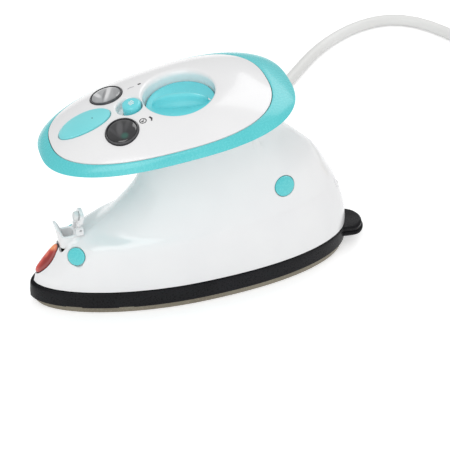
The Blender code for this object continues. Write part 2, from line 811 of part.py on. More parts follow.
def make_thermostat(handle_frame):
    """Thermostat in line with the dial, on a wedge-topped bracket on the chamber lid."""
    axis_x = -dial_forward
    foot = handle_place @ Vector((axis_x, 0, 0))
    down = handle_place.to_3x3() @ Vector((0, 0, -1))
    seat_height = lid_top + gap + bracket_length * math.tan(handle_tilt)
    reach = (foot.z - seat_height) / -down.z
    centre = foot + down * reach
    half_x, half_y = bracket_length / 2, bracket_width / 2
    corners = ((-half_x, -half_y), (half_x, -half_y), (half_x, half_y), (-half_x, half_y))
    bottom = [Vector((centre.x + x, y, lid_top + gap)) for x, y in corners]
    top = [Vector((centre.x + x, y, centre.z + x * math.tan(handle_tilt))) for x, y in corners]
    add_object("thermostat_bracket", loft("thermostat_bracket", [bottom, top]), "steel")
    base = -reach + gap
    body = base + thermostat_height
    socket = body + thermostat_socket_height
    profile = [(0, base), (thermostat_radius, base), (thermostat_radius, body),
               (thermostat_socket_radius, body), (thermostat_socket_radius, socket),
               (spindle_radius + gap, socket), (spindle_radius + gap, socket - thermostat_socket_depth),
               (0, socket - thermostat_socket_depth)]
    add_object("thermostat", lathe("thermostat", profile, 20), "ceramic", handle_frame,
               Matrix.Translation((axis_x, 0, 0)))
    return socket - thermostat_socket_depth + gap


# Housing

def side_places():
    """Where the four screw caps sit: name, point, normal, cap radius."""
    places = []
    for word, start, level, radius in (
            ("front", front_cap_from_nose, front_cap_level_share, front_cap_radius),
            ("rear", rear_cap_from_nose, rear_cap_level_share, rear_cap_radius)):
        for hand, side in (("left", -1), ("right", 1)):
            x = nose_x + start
            places.append((word + "_" + hand, housing_point(x, level, side),
                           housing_normal(x, level, side), radius))
    return places


def screw_ends():
    """The two cross screws from either side: name, near point, far point, way inwards."""
    ends = []
    places = side_places()
    for word, drop in (("front", front_screw_drop), ("rear", 0)):
        left, right = [p - Vector((0, 0, drop)) for name, p, normal, cap in places
                       if name.startswith(word)]
        ends.append((word + "_left", left, right, 1))
        ends.append((word + "_right", right, left, -1))
    return ends


def rear_recess_place():
    """Frame of the fixing recess at the back, its Z pointing out."""
    level = rear_recess_level_share
    rear = housing_shape(level)[1]
    above = housing_shape(level + 0.02)[1]
    point = Vector((rear, 0, housing_z(rear, level)))
    run = Vector((above, 0, housing_z(above, level + 0.02))) - point
    normal = Vector((run.z, 0, -run.x)).normalized()
    return frame_at(point, normal, Vector((0, 1, 0)))


def lens_place():
    """Frame of the nose lens, its Z pointing out and its X up the nose."""
    x = nose_x + lens_from_nose
    point = ridge_point(x)
    run = ridge_point(x + lens_length / 4) - ridge_point(x - lens_length / 4)
    normal = Vector((-run.z, 0, run.x)).normalized()
    return frame_at(point, normal, run)


def gland_place():
    """Frame of the strain relief, its Z pointing along the cord."""
    start, after = Vector(cord_route[0]), Vector(cord_route[1])
    heading = (after - start).normalized()
    return frame_at(start - heading * gland_length, heading, Vector((1, 0, 0)))


def oval_rings(half_length, half_width, levels, count=32):
    """Rings of an ellipse at several heights, each with its own inset."""
    return [[Vector(((half_length - inset) * math.cos(math.tau * (i + 0.5) / count),
                     (half_width - inset) * math.sin(math.tau * (i + 0.5) / count), height))
             for i in range(count)] for inset, height in levels]


def housing_rings(wall):
    """Rings of the housing's outer surface, or of its inner one at a wall's depth."""
    rings = []
    step = 0.02
    tip_shares = 1.5
    for level in housing_level_shares:
        front, rear, half_width, peak, front_powers, rear_powers = housing_shape(level)
        above, below = housing_shape(level + step), housing_shape(level - step)
        rise = housing_z(front, level + step) - housing_z(front, level - step)
        front_run = Vector((above[0] - below[0], rise)).normalized()
        rear_run = Vector((above[1] - below[1], rise)).normalized()
        front += wall * front_run.y * tip_shares
        rear -= wall * rear_run.y
        ring = boat_outline(front, rear, half_width - wall, 0, peak, front_powers, rear_powers)
        for p in ring:
            share = (p.x - front) / (rear - front)
            drop = front_run.x * max(1 - 2 * share, 0) - rear_run.x * max(2 * share - 1, 0)
            p.z = housing_z(p.x, level) - wall * drop
        rings.append(ring)
    return rings


def make_housing(handle_frame):
    rings = housing_rings(0) + list(reversed(housing_rings(housing_wall)))
    rings.append(rings[0])
    shell = add_guide("housing_form", loft("housing_form", rings, close_ends=False))

    def cutter(name, data, operation, place=None, parent=None):
        add_boolean(shell, add_guide(name, data, parent, place), operation)
        shell.data = evaluated_mesh(shell)
        shell.modifiers.clear()

    places = side_places()
    for name, start, end, way in screw_ends():
        radius, length = ((front_boss_radius, front_boss_length) if name.startswith("front")
                          else (side_boss_radius, abs(start.y)))
        inset = Vector((0, housing_wall / 2, 0)) * way
        tip = start + inset + Vector((0, length, 0)) * way
        cutter(name + "_boss", bar_between(name + "_boss", start + inset, tip, radius, 16), "UNION")
    for name, point, normal, radius in places:
        turn = frame_at(point, normal, Vector((1, 0, 0)))
        pocket = lathe(name + "_pocket", [(radius + gap, -cap_thickness - gap),
                                          (radius + gap, cutter_reach)], 24)
        cutter(name + "_pocket", pocket, "DIFFERENCE", turn)
    for name, start, end, way in screw_ends():
        past = Vector((0, overrun, 0)) * way
        if name.startswith("front"):
            bore_radius, sink_radius = front_bore_radius, front_counterbore
            depth = front_screw_sink + front_screw_head_height + gap
        else:
            bore_radius, sink_radius = side_bore_radius, side_counterbore
            depth = side_screw_sink + side_screw_head_height + gap
        middle = start.lerp(end, 0.5) + Vector((0, housing_wall, 0)) * way
        bore = bar_between(name + "_bore", start - past, middle, bore_radius, 12)
        cutter(name + "_bore", bore, "DIFFERENCE")
        sink = start + Vector((0, depth, 0)) * way
        hole = bar_between(name + "_sink", start - past, sink, sink_radius, 16)
        cutter(name + "_sink", hole, "DIFFERENCE")

    rear_place = rear_recess_place()
    boss = lathe("recess_boss", [(rear_boss_radius, -rear_boss_length),
                                 (rear_boss_radius, -housing_wall / 2)], 20)
    cutter("recess_boss", boss, "UNION", rear_place)
    recess = lathe("rear_recess", [(rear_boss_bore, -rear_boss_length - overrun),
                                   (rear_boss_bore, -rear_recess_depth),
                                   (rear_recess_radius, -rear_recess_depth),
                                   (rear_recess_radius, overrun)], 20)
    cutter("rear_recess", recess, "DIFFERENCE", rear_place)

    lens_hole = loft("lens_hole", oval_rings(lens_length / 2 + gap, lens_width / 2 + gap,
                                             ((0, -cutter_reach / 2), (0, cutter_reach / 2))))
    cutter("lens_hole", lens_hole, "DIFFERENCE", lens_place())

    filler = rounded_box("filler_hole", (spout_length + 2 * gap, spout_width + 2 * gap,
                                         spout_top - spout_bottom + 2 * overrun), spout_wall)
    middle = (spout_top + spout_bottom) / 2
    cutter("filler_hole", filler, "DIFFERENCE",
           Matrix.Translation((nose_x + filler_from_nose, 0, middle)))

    gland_hole = lathe("gland_hole", [(gland_root_radius + gap, -cutter_reach),
                                      (gland_root_radius + gap, cutter_reach)], 20)
    cutter("gland_hole", gland_hole, "DIFFERENCE", gland_place())

    for i, side in enumerate((-1, 1)):
        place = Matrix.Translation((handle_boss_from_centre, side * handle_boss_spread,
                                    -handle_depth - gap))
        post = lathe("handle_boss_%d" % i, [(handle_boss_radius, -handle_boss_length),
                                            (handle_boss_radius, overrun / 2)], 16)
        cutter("handle_boss_%d" % i, post, "UNION", place, handle_frame)
        bore = lathe("handle_boss_bore_%d" % i, [(handle_bore_radius, -handle_boss_length * 0.9),
                                                 (handle_bore_radius, overrun)], 12)
        cutter("handle_boss_bore_%d" % i, bore, "DIFFERENCE", place, handle_frame)

    front_x = nose_x - overrun
    rear_x = nose_x + overall_length + overrun
    for hand, side in (("left", -1), ("right", 1)):
        near, far = sorted((side * gap / 2, side * (skirt_width / 2 + overrun)))
        corners = [(front_x, near), (rear_x, near), (rear_x, far), (front_x, far)]
        top_depth = handle_depth + gap
        block = loft("half_space_" + hand,
                     [[Vector((x, y, housing_bottom)) for x, y in corners],
                      [Vector((x, y, handle_plane(x, top_depth))) for x, y in corners]])
        half = add_object("body_%s_shell" % hand, shell.data.copy(), "white_plastic")
        add_boolean(half, add_guide("half_space_" + hand, block), "INTERSECT")


def make_side_fixings():
    places = side_places()
    for name, point, normal, radius in places:
        turn = frame_at(point, normal, Vector((1, 0, 0)))
        profile = [(0, -cap_thickness), (radius - cap_crown, -cap_thickness),
                   (radius, -cap_thickness + cap_crown), (radius, 0),
                   (radius - cap_crown, cap_crown / 2), (radius / 2, cap_crown * 0.85),
                   (0, cap_crown)]
        add_object("cap_" + name, lathe("cap_" + name, profile, 24), "teal_plastic", None, turn)
    for name, start, end, way in screw_ends():
        if way < 0:
            continue
        if name.startswith("front"):
            sink, head, radius = front_screw_sink, front_screw_head, front_screw_radius
            under = sink + front_screw_head_height
        else:
            sink, head, radius = side_screw_sink, side_screw_head, side_screw_radius
            under = sink + side_screw_head_height
        tip = (end - start).length - under - gap
        profile = [(0, sink), (head * 0.8, sink), (head, sink + gap), (head, under),
                   (radius, under), (radius, tip), (0, tip)]
        turn = (end - start).to_track_quat("Z", "Y").to_matrix().to_4x4()
        name = name.split("_")[0] + "_housing_screw"
        add_object(name, lathe(name, profile, 14), "steel", None, Matrix.Translation(start) @ turn)
    head = -rear_recess_depth + gap
    profile = [(0, head - rear_screw_length), (rear_screw_radius, head - rear_screw_length),
               (rear_screw_radius, head), (rear_screw_head, head),
               (rear_screw_head, head + rear_screw_head_height * 0.6),
               (rear_screw_head * 0.7, head + rear_screw_head_height),
               (0, head + rear_screw_head_height)]
    add_object("rear_screw", lathe("rear_screw", profile, 16), "steel", None, rear_recess_place())


def make_nose_lens():
    place = lens_place()
    a, b = lens_length / 2, lens_width / 2
    rim = oval_rings(a, b, ((0, -lens_rim_depth), (0, lens_proud * 0.5),
                            (lens_rim * 0.3, lens_proud), (lens_rim, lens_proud),
                            (lens_rim, -lens_rim_depth)))
    rim.append(rim[0])
    add_object("nose_lens_rim", loft("nose_lens_rim", rim, close_ends=False), "dark_rim", None, place)
    inset = lens_rim + gap
    lens = oval_rings(a, b, ((inset, -lens_rim_depth), (inset, lens_proud * 0.4),
                             (inset + b * 0.12, lens_proud * 0.4 + lens_crown * 0.5),
                             (inset + b * 0.4, lens_proud * 0.4 + lens_crown * 0.9),
                             (inset + b * 0.7, lens_proud * 0.4 + lens_crown)))
    add_object("nose_lens", loft("nose_lens", lens), "red_lens", None, place)
    profile = [(0, -lamp_length / 2), (lamp_radius, -lamp_length / 2),
               (lamp_radius, lamp_length / 2 - lamp_radius), (lamp_radius * 0.7, lamp_length / 2 - gap),
               (0, lamp_length / 2)]
    along = Matrix.Rotation(math.pi / 2, 4, "Y")
    add_object("nose_lamp", lathe("nose_lamp", profile, 12), "led_amber", None,
               place @ Matrix.Translation((0, 0, -lamp_sink)) @ along)


# Filler

def hinge_place():
    """Hinge point of the filler lid."""
    x = nose_x + filler_from_nose + spout_length / 2 + lid_knuckle_radius + gap
    return Vector((x, 0, spout_top + lid_knuckle_radius + gap))


def make_filler():
    """Cup with a raised pouring lip in front, an outlet below and hinge ears behind."""
    half_x, half_y = spout_length / 2, spout_width / 2
    count = 28
    centre = Vector((nose_x + filler_from_nose, 0, 0))

    def ring(inset, height, lip):
        points = []
        for i in range(count):
            angle = math.tau * (i + 0.5) / count
            c, s = math.cos(angle), math.sin(angle)
            along = math.copysign(abs(c) ** 0.6, c)
            across = math.copysign(abs(s) ** 0.6, s)
            raised = lip * max((-along - spout_lip_share) / (1 - spout_lip_share), 0)
            points.append(centre + Vector(((half_x - inset) * along - raised * spout_lip_flare,
                                           (half_y - inset) * across,
                                           height + raised * spout_lip_rise)))
        return points

    rings = [ring(0, spout_bottom, 0), ring(0, spout_top - spout_wall, 0.3), ring(0, spout_top - gap, 1),
             ring(spout_wall * 0.4, spout_top, 1), ring(spout_wall, spout_top - gap, 1),
             ring(spout_wall, spout_top - 2 * spout_wall, 0.2),
             ring(spout_wall, spout_bottom + spout_floor, 0)]
    spout = add_object("filler_spout", loft("filler_spout", rings), "white_plastic")

    start = centre + Vector((outlet_radius, 0, spout_bottom + spout_floor / 2))
    turn = Vector((nose_x + outlet_from_nose, 0, spout_bottom - outlet_radius))
    end = Vector((nose_x + outlet_from_nose, 0, outlet_bottom))
    outlet = swept_tube("filler_outlet", [start, turn, end], outlet_radius, 12)
    add_boolean(spout, add_guide("filler_outlet", outlet), "UNION")
    first = start + (start - turn).normalized() * outlet_radius
    past = end - Vector((0, 0, overrun))
    bore = swept_tube("outlet_bore", [first, turn, past], outlet_bore, 10)
    add_boolean(spout, add_guide("outlet_bore", bore), "DIFFERENCE")

    hinge = hinge_place()
    inner = centre.x + half_x - spout_wall / 2
    low = spout_top - ear_length
    high = hinge.z + ear_rise
    reach = hinge.x + lid_knuckle_radius - inner
    for i, side in enumerate((-1, 1)):
        middle = side * (lid_knuckle_width / 2 + gap + ear_thickness / 2)
        ear = rounded_box("ear_%d" % i, (reach, ear_thickness, high - low))
        place = Matrix.Translation((inner + reach / 2, middle, (high + low) / 2))
        add_boolean(spout, add_guide("ear_%d" % i, ear, None, place), "UNION")
    span = lid_knuckle_width / 2 + gap + ear_thickness
    past = Vector((0, span + overrun, 0))
    bore = bar_between("ear_bore", hinge - past, hinge + past, lid_pin_radius + lid_pin_clearance, 12)
    add_boolean(spout, add_guide("ear_bore", bore), "DIFFERENCE")
    reach = Vector((0, span, 0))
    pin = bar_between("filler_hinge_pin", hinge - reach, hinge + reach, lid_pin_radius, 12)
    add_object("filler_hinge_pin", pin, "steel")

    lean = Matrix.Translation(hinge) @ Matrix.Rotation(lid_open_lean, 4, "Y")
    front = -lid_knuckle_radius
    upright = Matrix.Rotation(-math.pi / 2, 4, "Y")
    plate = rounded_box("filler_lid", (lid_reach - lid_web, lid_width, lid_plate), lid_corner)
    plate.transform(Matrix.Translation((front + lid_plate / 2, 0, (lid_reach + lid_web) / 2)) @ upright)
    lid = add_object("filler_lid", plate, "white_plastic", None, lean)
    web_length = lid_web + lid_corner
    web = rounded_box("lid_web", (lid_plate, lid_knuckle_width, web_length))
    seat = Matrix.Translation((front + lid_plate / 2, 0, web_length / 2))
    add_boolean(lid, add_guide("lid_web", web, None, lean @ seat), "UNION")
    half = Vector((0, lid_knuckle_width / 2, 0))
    knuckle = bar_between("lid_knuckle", -half, half, lid_knuckle_radius, 16)
    add_boolean(lid, add_guide("lid_knuckle", knuckle, None, lean), "UNION")
    bore = bar_between("lid_bore", -past, past, lid_pin_radius + lid_pin_clearance, 12)
    add_boolean(lid, add_guide("lid_bore", bore, None, lean), "DIFFERENCE")

    profile = [(0, 0), (plug_seal_radius, 0), (plug_seal_radius, plug_seal_height * 0.6),
               (plug_seal_radius - plug_seal_taper, plug_seal_height), (0, plug_seal_height)]
    away = Matrix.Rotation(-math.pi / 2, 4, "Y")
    seat = Matrix.Translation((front - gap, 0, hinge.x - centre.x)) @ away
    add_object("filler_plug", lathe("filler_plug", profile, 16), "teal_rubber", None, lean @ seat)


def make_tank():
    """Hollow tank under the filler: one skin that runs up the outside and back down inside."""
    low = lid_top + gap
    high = low + tank_rise
    count = 24

    def body(inset, height, width):
        return boat_outline(nose_x + tank_front + inset, nose_x + tank_rear - inset,
                            width / 2 - inset, height, neck_peak_share,
                            neck_front_power_shares, neck_rear_power_shares, count)

    def neck(height, extra):
        radius = tank_mouth + extra
        return [Vector((nose_x + outlet_from_nose - radius * math.cos(math.tau * i / count),
                        -radius * math.sin(math.tau * i / count), height)) for i in range(count)]

    neck_top = high + tank_neck_rise
    waist = low + tank_rise * 0.6
    wall = tank_wall
    rings = [body(0, low, tank_width), body(0, waist, tank_width),
             body(2 * wall, high - wall, tank_top_width + 4 * wall), neck(high, wall),
             neck(neck_top, wall), neck(neck_top, 0), neck(high - wall, 0),
             body(3 * wall, high - 2 * wall, tank_top_width + 4 * wall),
             body(wall, waist - wall, tank_width), body(wall, low + wall, tank_width)]
    add_object("water_tank", loft("water_tank", rings), "clear_plastic")
    profile = [(0, lid_top + gap), (valve_radius, lid_top + gap),
               (valve_radius, lid_top + gap + valve_height * 0.5),
               (valve_radius * 0.6, lid_top + gap + valve_height * 0.6),
               (valve_radius * 0.6, lid_top + gap + valve_height), (0, lid_top + gap + valve_height)]
    add_object("drip_valve", lathe("drip_valve", profile, 16), "brass", None,
               Matrix.Translation((nose_x + valve_from_nose, 0, 0)))


# Handle

def handle_outline(length, width, forward, height, count=outline_points):
    """Rounded-square oval of the handle, a little wider at the rear."""
    points = []
    power = 2 / handle_square_share
    for i in range(count):
        angle = math.tau * i / count
        c, s = math.cos(angle), math.sin(angle)
        x = math.copysign(abs(c) ** power, c)
        y = math.copysign(abs(s) ** power, s) * width / 2 * (1 + handle_taper_share * x)
        points.append(Vector((x * length / 2 - forward, y, height)))
    return points


def cover_height(x, y, drop=0):
    """Height of the cover's dome over a place in the handle's frame."""
    u = (x + cover_forward) / (cover_length / 2)
    v = y / (cover_width / 2 * (1 + handle_taper_share * u))
    reach = (abs(u) ** handle_square_share + abs(v) ** handle_square_share) ** (1 / handle_square_share)
    return base_lip_rise + cover_crown * (1 - min(reach, 1) ** 2) - drop


def cover_frame(x, y):
    """Frame on the cover's dome, its Z pointing out."""
    step = gap
    run_x = Vector((2 * step, 0, cover_height(x + step, y) - cover_height(x - step, y)))
    run_y = Vector((0, 2 * step, cover_height(x, y + step) - cover_height(x, y - step)))
    return frame_at(Vector((x, y, cover_height(x, y))), run_x.cross(run_y), Vector((1, 0, 0)))


def dome_rings(inset, drop, bottom, dome_shares):
    """Rings of the cover's dome from its edge to near its crown."""
    length, width = cover_length - 2 * inset, cover_width - 2 * inset
    rings = [handle_outline(length, width, cover_forward, bottom)]
    for share in dome_shares:
        rings.append([Vector((p.x, p.y, base_lip_rise + cover_crown * (1 - share ** 2) - drop))
                      for p in handle_outline(length * share, width * share, cover_forward, 0)])
    return rings


def make_handle_base(handle_frame):
    def outer(inset, height):
        return handle_outline(handle_length - 2 * inset, handle_width - 2 * inset, 0, height)

    def lip(share, height, inset=0):
        edge = handle_outline(cover_length + 2 * gap - 2 * inset, cover_width + 2 * gap - 2 * inset,
                              cover_forward, height)
        return [a.lerp(b, share) for a, b in zip(outer(0, height), edge)]

    depth, wall = handle_depth, handle_wall
    rings = [outer(base_floor_inset, -depth), outer(base_floor_inset * 0.72, -depth * 0.985),
             outer(base_floor_inset * 0.42, -depth * 0.88), outer(base_floor_inset * 0.2, -depth * 0.66),
             outer(base_floor_inset * 0.06, -depth * 0.36), outer(0, -depth * 0.1),
             lip(0.08, base_lip_rise * 0.22), lip(0.35, base_lip_rise * 0.62),
             lip(0.7, base_lip_rise * 0.9), lip(1, base_lip_rise),
             lip(1, base_lip_rise - base_ledge_depth),
             lip(1, base_lip_rise - base_ledge_depth, base_ledge_width),
             lip(1, -depth * 0.35, base_ledge_width), outer(base_floor_inset * 0.42 + wall, -depth * 0.6),
             outer(base_floor_inset * 0.72, -depth + wall * 1.1), outer(base_floor_inset, -depth + wall)]
    base = add_object("handle_base", loft("handle_base", rings), "teal_plastic", handle_frame,
                      Matrix.Identity(4))
    neck_front = nose_x + skirt_length * housing_front_shares[-1][1] - handle_x
    neck_rear = nose_x + skirt_length * housing_rear_shares[-1][1] - handle_x
    half = skirt_width / 2 * housing_width_shares[-1][1] - passage_inset
    passage = loft("passage_cutter",
                   [[Vector((p.x, p.y, height)) for p in
                     boat_outline(neck_front + passage_inset, handle_boss_from_centre - passage_inset,
                                  half, 0, neck_peak_share, neck_front_power_shares,
                                  neck_rear_power_shares, 24)]
                    for height in (-depth - overrun, -depth + wall + overrun)])
    add_boolean(base, add_guide("passage_cutter", passage, handle_frame, Matrix.Identity(4)),
                "DIFFERENCE")
    for i, side in enumerate((-1, 1)):
        place = Matrix.Translation((handle_boss_from_centre, side * handle_boss_spread, -depth))
        hole = lathe("handle_screw_hole_%d" % i, [(handle_bore_radius, -overrun),
                                                  (handle_bore_radius, wall + overrun)], 12)
        add_boolean(base, add_guide("handle_screw_hole_%d" % i, hole, handle_frame, place),
                    "DIFFERENCE")
    return neck_rear


def make_handle_screws(handle_frame):
    seat = -handle_depth + handle_wall + gap
    tip = -handle_depth - handle_screw_length
    profile = [(0, tip), (handle_screw_radius, tip), (handle_screw_radius, seat),
               (handle_screw_head, seat),
               (handle_screw_head * 0.75, seat + handle_screw_head_height),
               (0, seat + handle_screw_head_height)]
    for hand, side in (("left", -1), ("right", 1)):
        name = "handle_screw_" + hand
        place = Matrix.Translation((handle_boss_from_centre, side * handle_boss_spread, 0))
        add_object(name, lathe(name, profile, 12), "steel", handle_frame, place)


def dome_patch(name, half_length, half_width, x, proud, depth, rings=3, count=28):
    """A slab that follows the dome over an oval place."""
    upper, lower = [], []
    for k in range(rings + 1):
        share = 1 - k / (rings + 0.4)
        row = [(x + half_length * share * math.cos(math.tau * i / count),
                half_width * share * math.sin(math.tau * i / count)) for i in range(count)]
        upper.append([Vector((px, py, cover_height(px, py) + proud)) for px, py in row])
        lower.append([Vector((px, py, cover_height(px, py) - depth)) for px, py in row])
    return loft(name, list(reversed(lower)) + upper)


def make_handle_cover(handle_frame):
    bottom = base_lip_rise - base_ledge_depth + gap
    outside = dome_rings(0, 0, bottom, (1.0, 0.93, 0.82, 0.68, 0.52, 0.35, 0.15))
    inside = dome_rings(cover_wall * 0.6, cover_wall, bottom, (1.0, 0.85, 0.6, 0.3))
    rings = list(reversed(inside)) + outside
    cover = add_object("handle_cover", loft("handle_cover", rings), "white_plastic", handle_frame,
                       Matrix.Identity(4))
    here = Matrix.Identity(4)

    def guide(name, data, place=None):
        return add_guide(name, data, handle_frame, here if place is None else place)

    # Wells for the dial and the button: cups cut out of a solid dome
    solid = guide("dome_solid", loft("dome_solid", dome_rings(gap, gap, bottom - overrun, (1.0, 0.85, 0.6, 0.3))))
    well_radius = dial_radius + dial_well_clearance
    floor = dial_face - dial_thickness - gap
    dial_place = Matrix.Translation((-dial_forward, 0, 0))
    button_place = Matrix.Translation((-button_forward, 0, 0))
    button_well_place = Matrix.Translation((-button_forward - button_well_shift, 0, 0))
    cup = guide("dial_cup", lathe("dial_cup", [(well_radius + well_wall, floor - well_floor),
                                               (well_radius + well_wall, cutter_reach)], 36), dial_place)
    add_boolean(cup, solid, "INTERSECT")
    small = guide("button_cup", lathe("button_cup",
                                      [(button_well_radius + well_wall, button_well_floor - well_floor),
                                       (button_well_radius + well_wall, cutter_reach)], 28),
                  button_well_place)
    add_boolean(small, solid, "INTERSECT")
    add_boolean(cover, cup, "UNION")
    add_boolean(cover, small, "UNION")
    well = lathe("dial_well", [(well_radius, floor), (well_radius, 2 * cutter_reach)], 36)
    add_boolean(cover, guide("dial_well", well, dial_place), "DIFFERENCE")
    hole = lathe("spindle_hole", [(spindle_radius + spindle_bore_clearance, -cutter_reach),
                                  (spindle_radius + spindle_bore_clearance, floor + overrun)], 16)
    add_boolean(cover, guide("spindle_hole", hole, dial_place), "DIFFERENCE")
    well = lathe("button_well", [(button_well_radius, button_well_floor),
                                 (button_well_radius, 2 * cutter_reach)], 28)
    add_boolean(cover, guide("button_well", well, button_well_place), "DIFFERENCE")
    hole = lathe("button_hole", [(button_radius + button_bore_clearance, 0),
                                 (button_radius + button_bore_clearance, 2 * cutter_reach)], 24)
    add_boolean(cover, guide("button_hole", hole, button_place), "DIFFERENCE")

    # Pocket of the thumb rest and holes of the windows
    pocket = dome_patch("rest_pocket", rest_length / 2 + gap, rest_width / 2 + gap, -rest_forward,
                        overrun, rest_depth + gap)
    add_boolean(cover, guide("rest_pocket", pocket), "DIFFERENCE")
    for i, side in enumerate((-1, 1)):
        hole = lathe("window_hole_%d" % i, [(window_radius + gap, -cutter_reach / 2),
                                            (window_radius + gap, cutter_reach / 2)], 28)
        add_boolean(cover, guide("window_hole_%d" % i, hole,
                                 cover_frame(-window_forward, side * window_spread)), "DIFFERENCE")


def make_cover_fittings(handle_frame):
    inset = dome_patch("thumb_rest", rest_length / 2, rest_width / 2, -rest_forward,
                       rest_proud, rest_depth)
    add_object("thumb_rest", inset, "teal_plastic", handle_frame, Matrix.Identity(4))
    for hand, side in (("left", -1), ("right", 1)):
        place = cover_frame(-window_forward, side * window_spread)
        inner = window_radius - window_rim
        profile = [(inner, -window_rim_depth), (window_radius, -window_rim_depth),
                   (window_radius, window_rim_proud * 0.5),
                   (window_radius - window_rim * 0.3, window_rim_proud), (inner, window_rim_proud),
                   (inner, -window_rim_depth)]
        add_object("window_rim_" + hand, lathe("window_rim_" + hand, profile, 28), "dark_rim",
                   handle_frame, place)
        edge = inner - gap
        base = -window_lens_thickness
        profile = [(0, base), (edge, base), (edge, -gap), (edge * 0.8, window_lens_crown * 0.4),
                   (edge * 0.4, window_lens_crown * 0.85), (0, window_lens_crown)]
        add_object("window_lens_" + hand, lathe("window_lens_" + hand, profile, 28), "smoked_lens",
                   handle_frame, place)
        lamp_top = base - gap
        profile = [(0, lamp_top - led_length), (led_radius, lamp_top - led_length),
                   (led_radius, lamp_top - led_radius * 0.6), (led_radius * 0.7, lamp_top - gap),
                   (0, lamp_top)]
        add_object("indicator_led_" + hand, lathe("indicator_led_" + hand, profile, 12),
                   "led_green" if side < 0 else "led_amber", handle_frame, place)
    low = cover_frame(-window_forward, window_spread) @ Vector((led_radius, led_radius, 0))
    level = low.z - window_lens_thickness - led_length - 3 * gap - board_thickness
    return level


def make_board(handle_frame, level):
    """Small lamp board under the two windows, in front of the pump."""
    board = rounded_box("indicator_board", (board_length, board_width, board_thickness))
    add_object("indicator_board", board, "board_green", handle_frame,
               Matrix.Translation((-window_forward - board_length / 4, 0, level)))


def make_dial(handle_frame, spindle_foot):
    axle = bpy.data.objects.new("dial_axis", None)
    bpy.context.scene.collection.objects.link(axle)
    axle.parent = handle_frame
    axle.matrix_local = Matrix.Translation((-dial_forward, 0, 0))
    top, base = dial_face, dial_face - dial_thickness
    profile = [(0, base), (dial_radius - dial_edge, base), (dial_radius, base + dial_edge),
               (dial_radius, top - dial_edge), (dial_radius - dial_edge, top),
               (dial_radius * 0.86, top - dial_dish * 0.3), (dial_radius * 0.5, top - dial_dish * 0.85),
               (0, top - dial_dish)]
    dial = add_object("temperature_dial", lathe("temperature_dial", profile, 40), "teal_plastic",
                      axle, Matrix.Identity(4))
    # Half-moon grip: cross-sections narrow towards the crest
    stations = 13
    rings = []
    for i in range(stations):
        share = -1 + 2 * i / (stations - 1)
        share = math.sin(share * math.pi / 2) * 0.995
        crest = top - dial_dish + grip_height * math.sqrt(1 - share ** 2)
        root = grip_root / 2 * (1 - 0.75 * share ** 2)
        tip = min(grip_crest / 2, root * 0.8)
        x = grip_length / 2 * share
        low = top - dial_thickness / 2
        knee = low + (crest - low) * 0.45
        shoulder = crest - (crest - low) * 0.2
        section = [(-root, low), (root, low), (root * 0.9, knee), (tip, shoulder), (tip * 0.5, crest),
                   (-tip * 0.5, crest), (-tip, shoulder), (-root * 0.9, knee)]
        rings.append([Vector((x, y, z)) for y, z in section])
    grip = add_guide("dial_grip_form", loft("dial_grip_form", rings), axle, Matrix.Identity(4))
    add_boolean(dial, grip, "UNION")
    profile = [(0, spindle_foot), (spindle_radius, spindle_foot), (spindle_radius, base - gap),
               (0, base - gap)]
    add_object("dial_spindle", lathe("dial_spindle", profile, 16), "steel", axle, Matrix.Identity(4))


def make_button(handle_frame):
    slide = bpy.data.objects.new("button_axis", None)
    bpy.context.scene.collection.objects.link(slide)
    slide.parent = handle_frame
    slide.matrix_local = Matrix.Translation((-button_forward, 0, 0))
    floor = -handle_depth + handle_wall + gap
    pump_top = floor + pump_height
    skirt_low = button_top - button_skirt
    profile = [(0, skirt_low), (button_radius, skirt_low), (button_radius, button_top - button_edge),
               (button_radius - button_edge * 0.3, button_top - button_edge * 0.3),
               (button_radius - button_edge, button_top), (0, button_top)]
    add_object("steam_button", lathe("steam_button", profile, 28), "teal_plastic", slide,
               Matrix.Identity(4))
    inner = pump_radius - pump_wall
    cup_floor = floor + pump_wall
    profile = [(0, floor), (pump_radius, floor), (pump_radius, pump_top), (inner, pump_top),
               (inner, cup_floor), (0, cup_floor)]
    add_object("steam_pump", lathe("steam_pump", profile, 20), "clear_plastic", slide,
               Matrix.Identity(4))
    head_top = pump_top - gap
    head_low = head_top - piston_head_height
    profile = [(0, head_low), (piston_head_radius, head_low), (piston_head_radius, head_top),
               (piston_radius, head_top), (piston_radius, skirt_low - gap), (0, skirt_low - gap)]
    add_object("pump_piston", lathe("pump_piston", profile, 16), "grey_rubber", slide,
               Matrix.Identity(4))
    low = cup_floor + spring_wire + gap
    high = head_low - spring_wire - gap
    steps = 10
    radius = inner - spring_wire - gap
    coil = [(radius * math.cos(math.tau * i / steps), radius * math.sin(math.tau * i / steps),
             low + (high - low) * i / (spring_turns * steps))
            for i in range(spring_turns * steps + 1)]
    tube("pump_spring", coil, spring_wire, 1, "steel", slide)
    return floor


def make_hose():
    """Steam hose from beside the pump, down the neck, to the drip valve."""
    turn = handle_place
    level = -handle_depth + handle_wall + hose_radius + 3 * gap
    start = turn @ Vector((-button_forward + pump_radius + gap, 0, level))
    along = turn.to_3x3() @ Vector((1, 0, 0))
    neck_front = nose_x + skirt_length * housing_front_shares[-1][1]
    bend_x = neck_front + housing_wall + passage_inset
    top = Vector((nose_x + valve_from_nose, 0, lid_top + 2 * gap + valve_height))
    under = handle_plane(bend_x, handle_depth)
    points = [start, start + along * hose_radius * 1.4,
              Vector((bend_x + 0.7 * hose_radius, 0, under + 2.1 * hose_radius)),
              Vector((bend_x + 1.4 * hose_radius, 0, under - 1.5 * hose_radius)),
              Vector((bend_x + 1.2 * hose_radius, 0, under * 0.8)),
              Vector((top.x - 2 * hose_radius, 0, top.z * 2.0)),
              top + Vector((0, 0, 3 * hose_radius)), top]
    tube("steam_hose", spline_points(points, 20), hose_radius, 1, "grey_rubber")


# Rear electrics and the cord

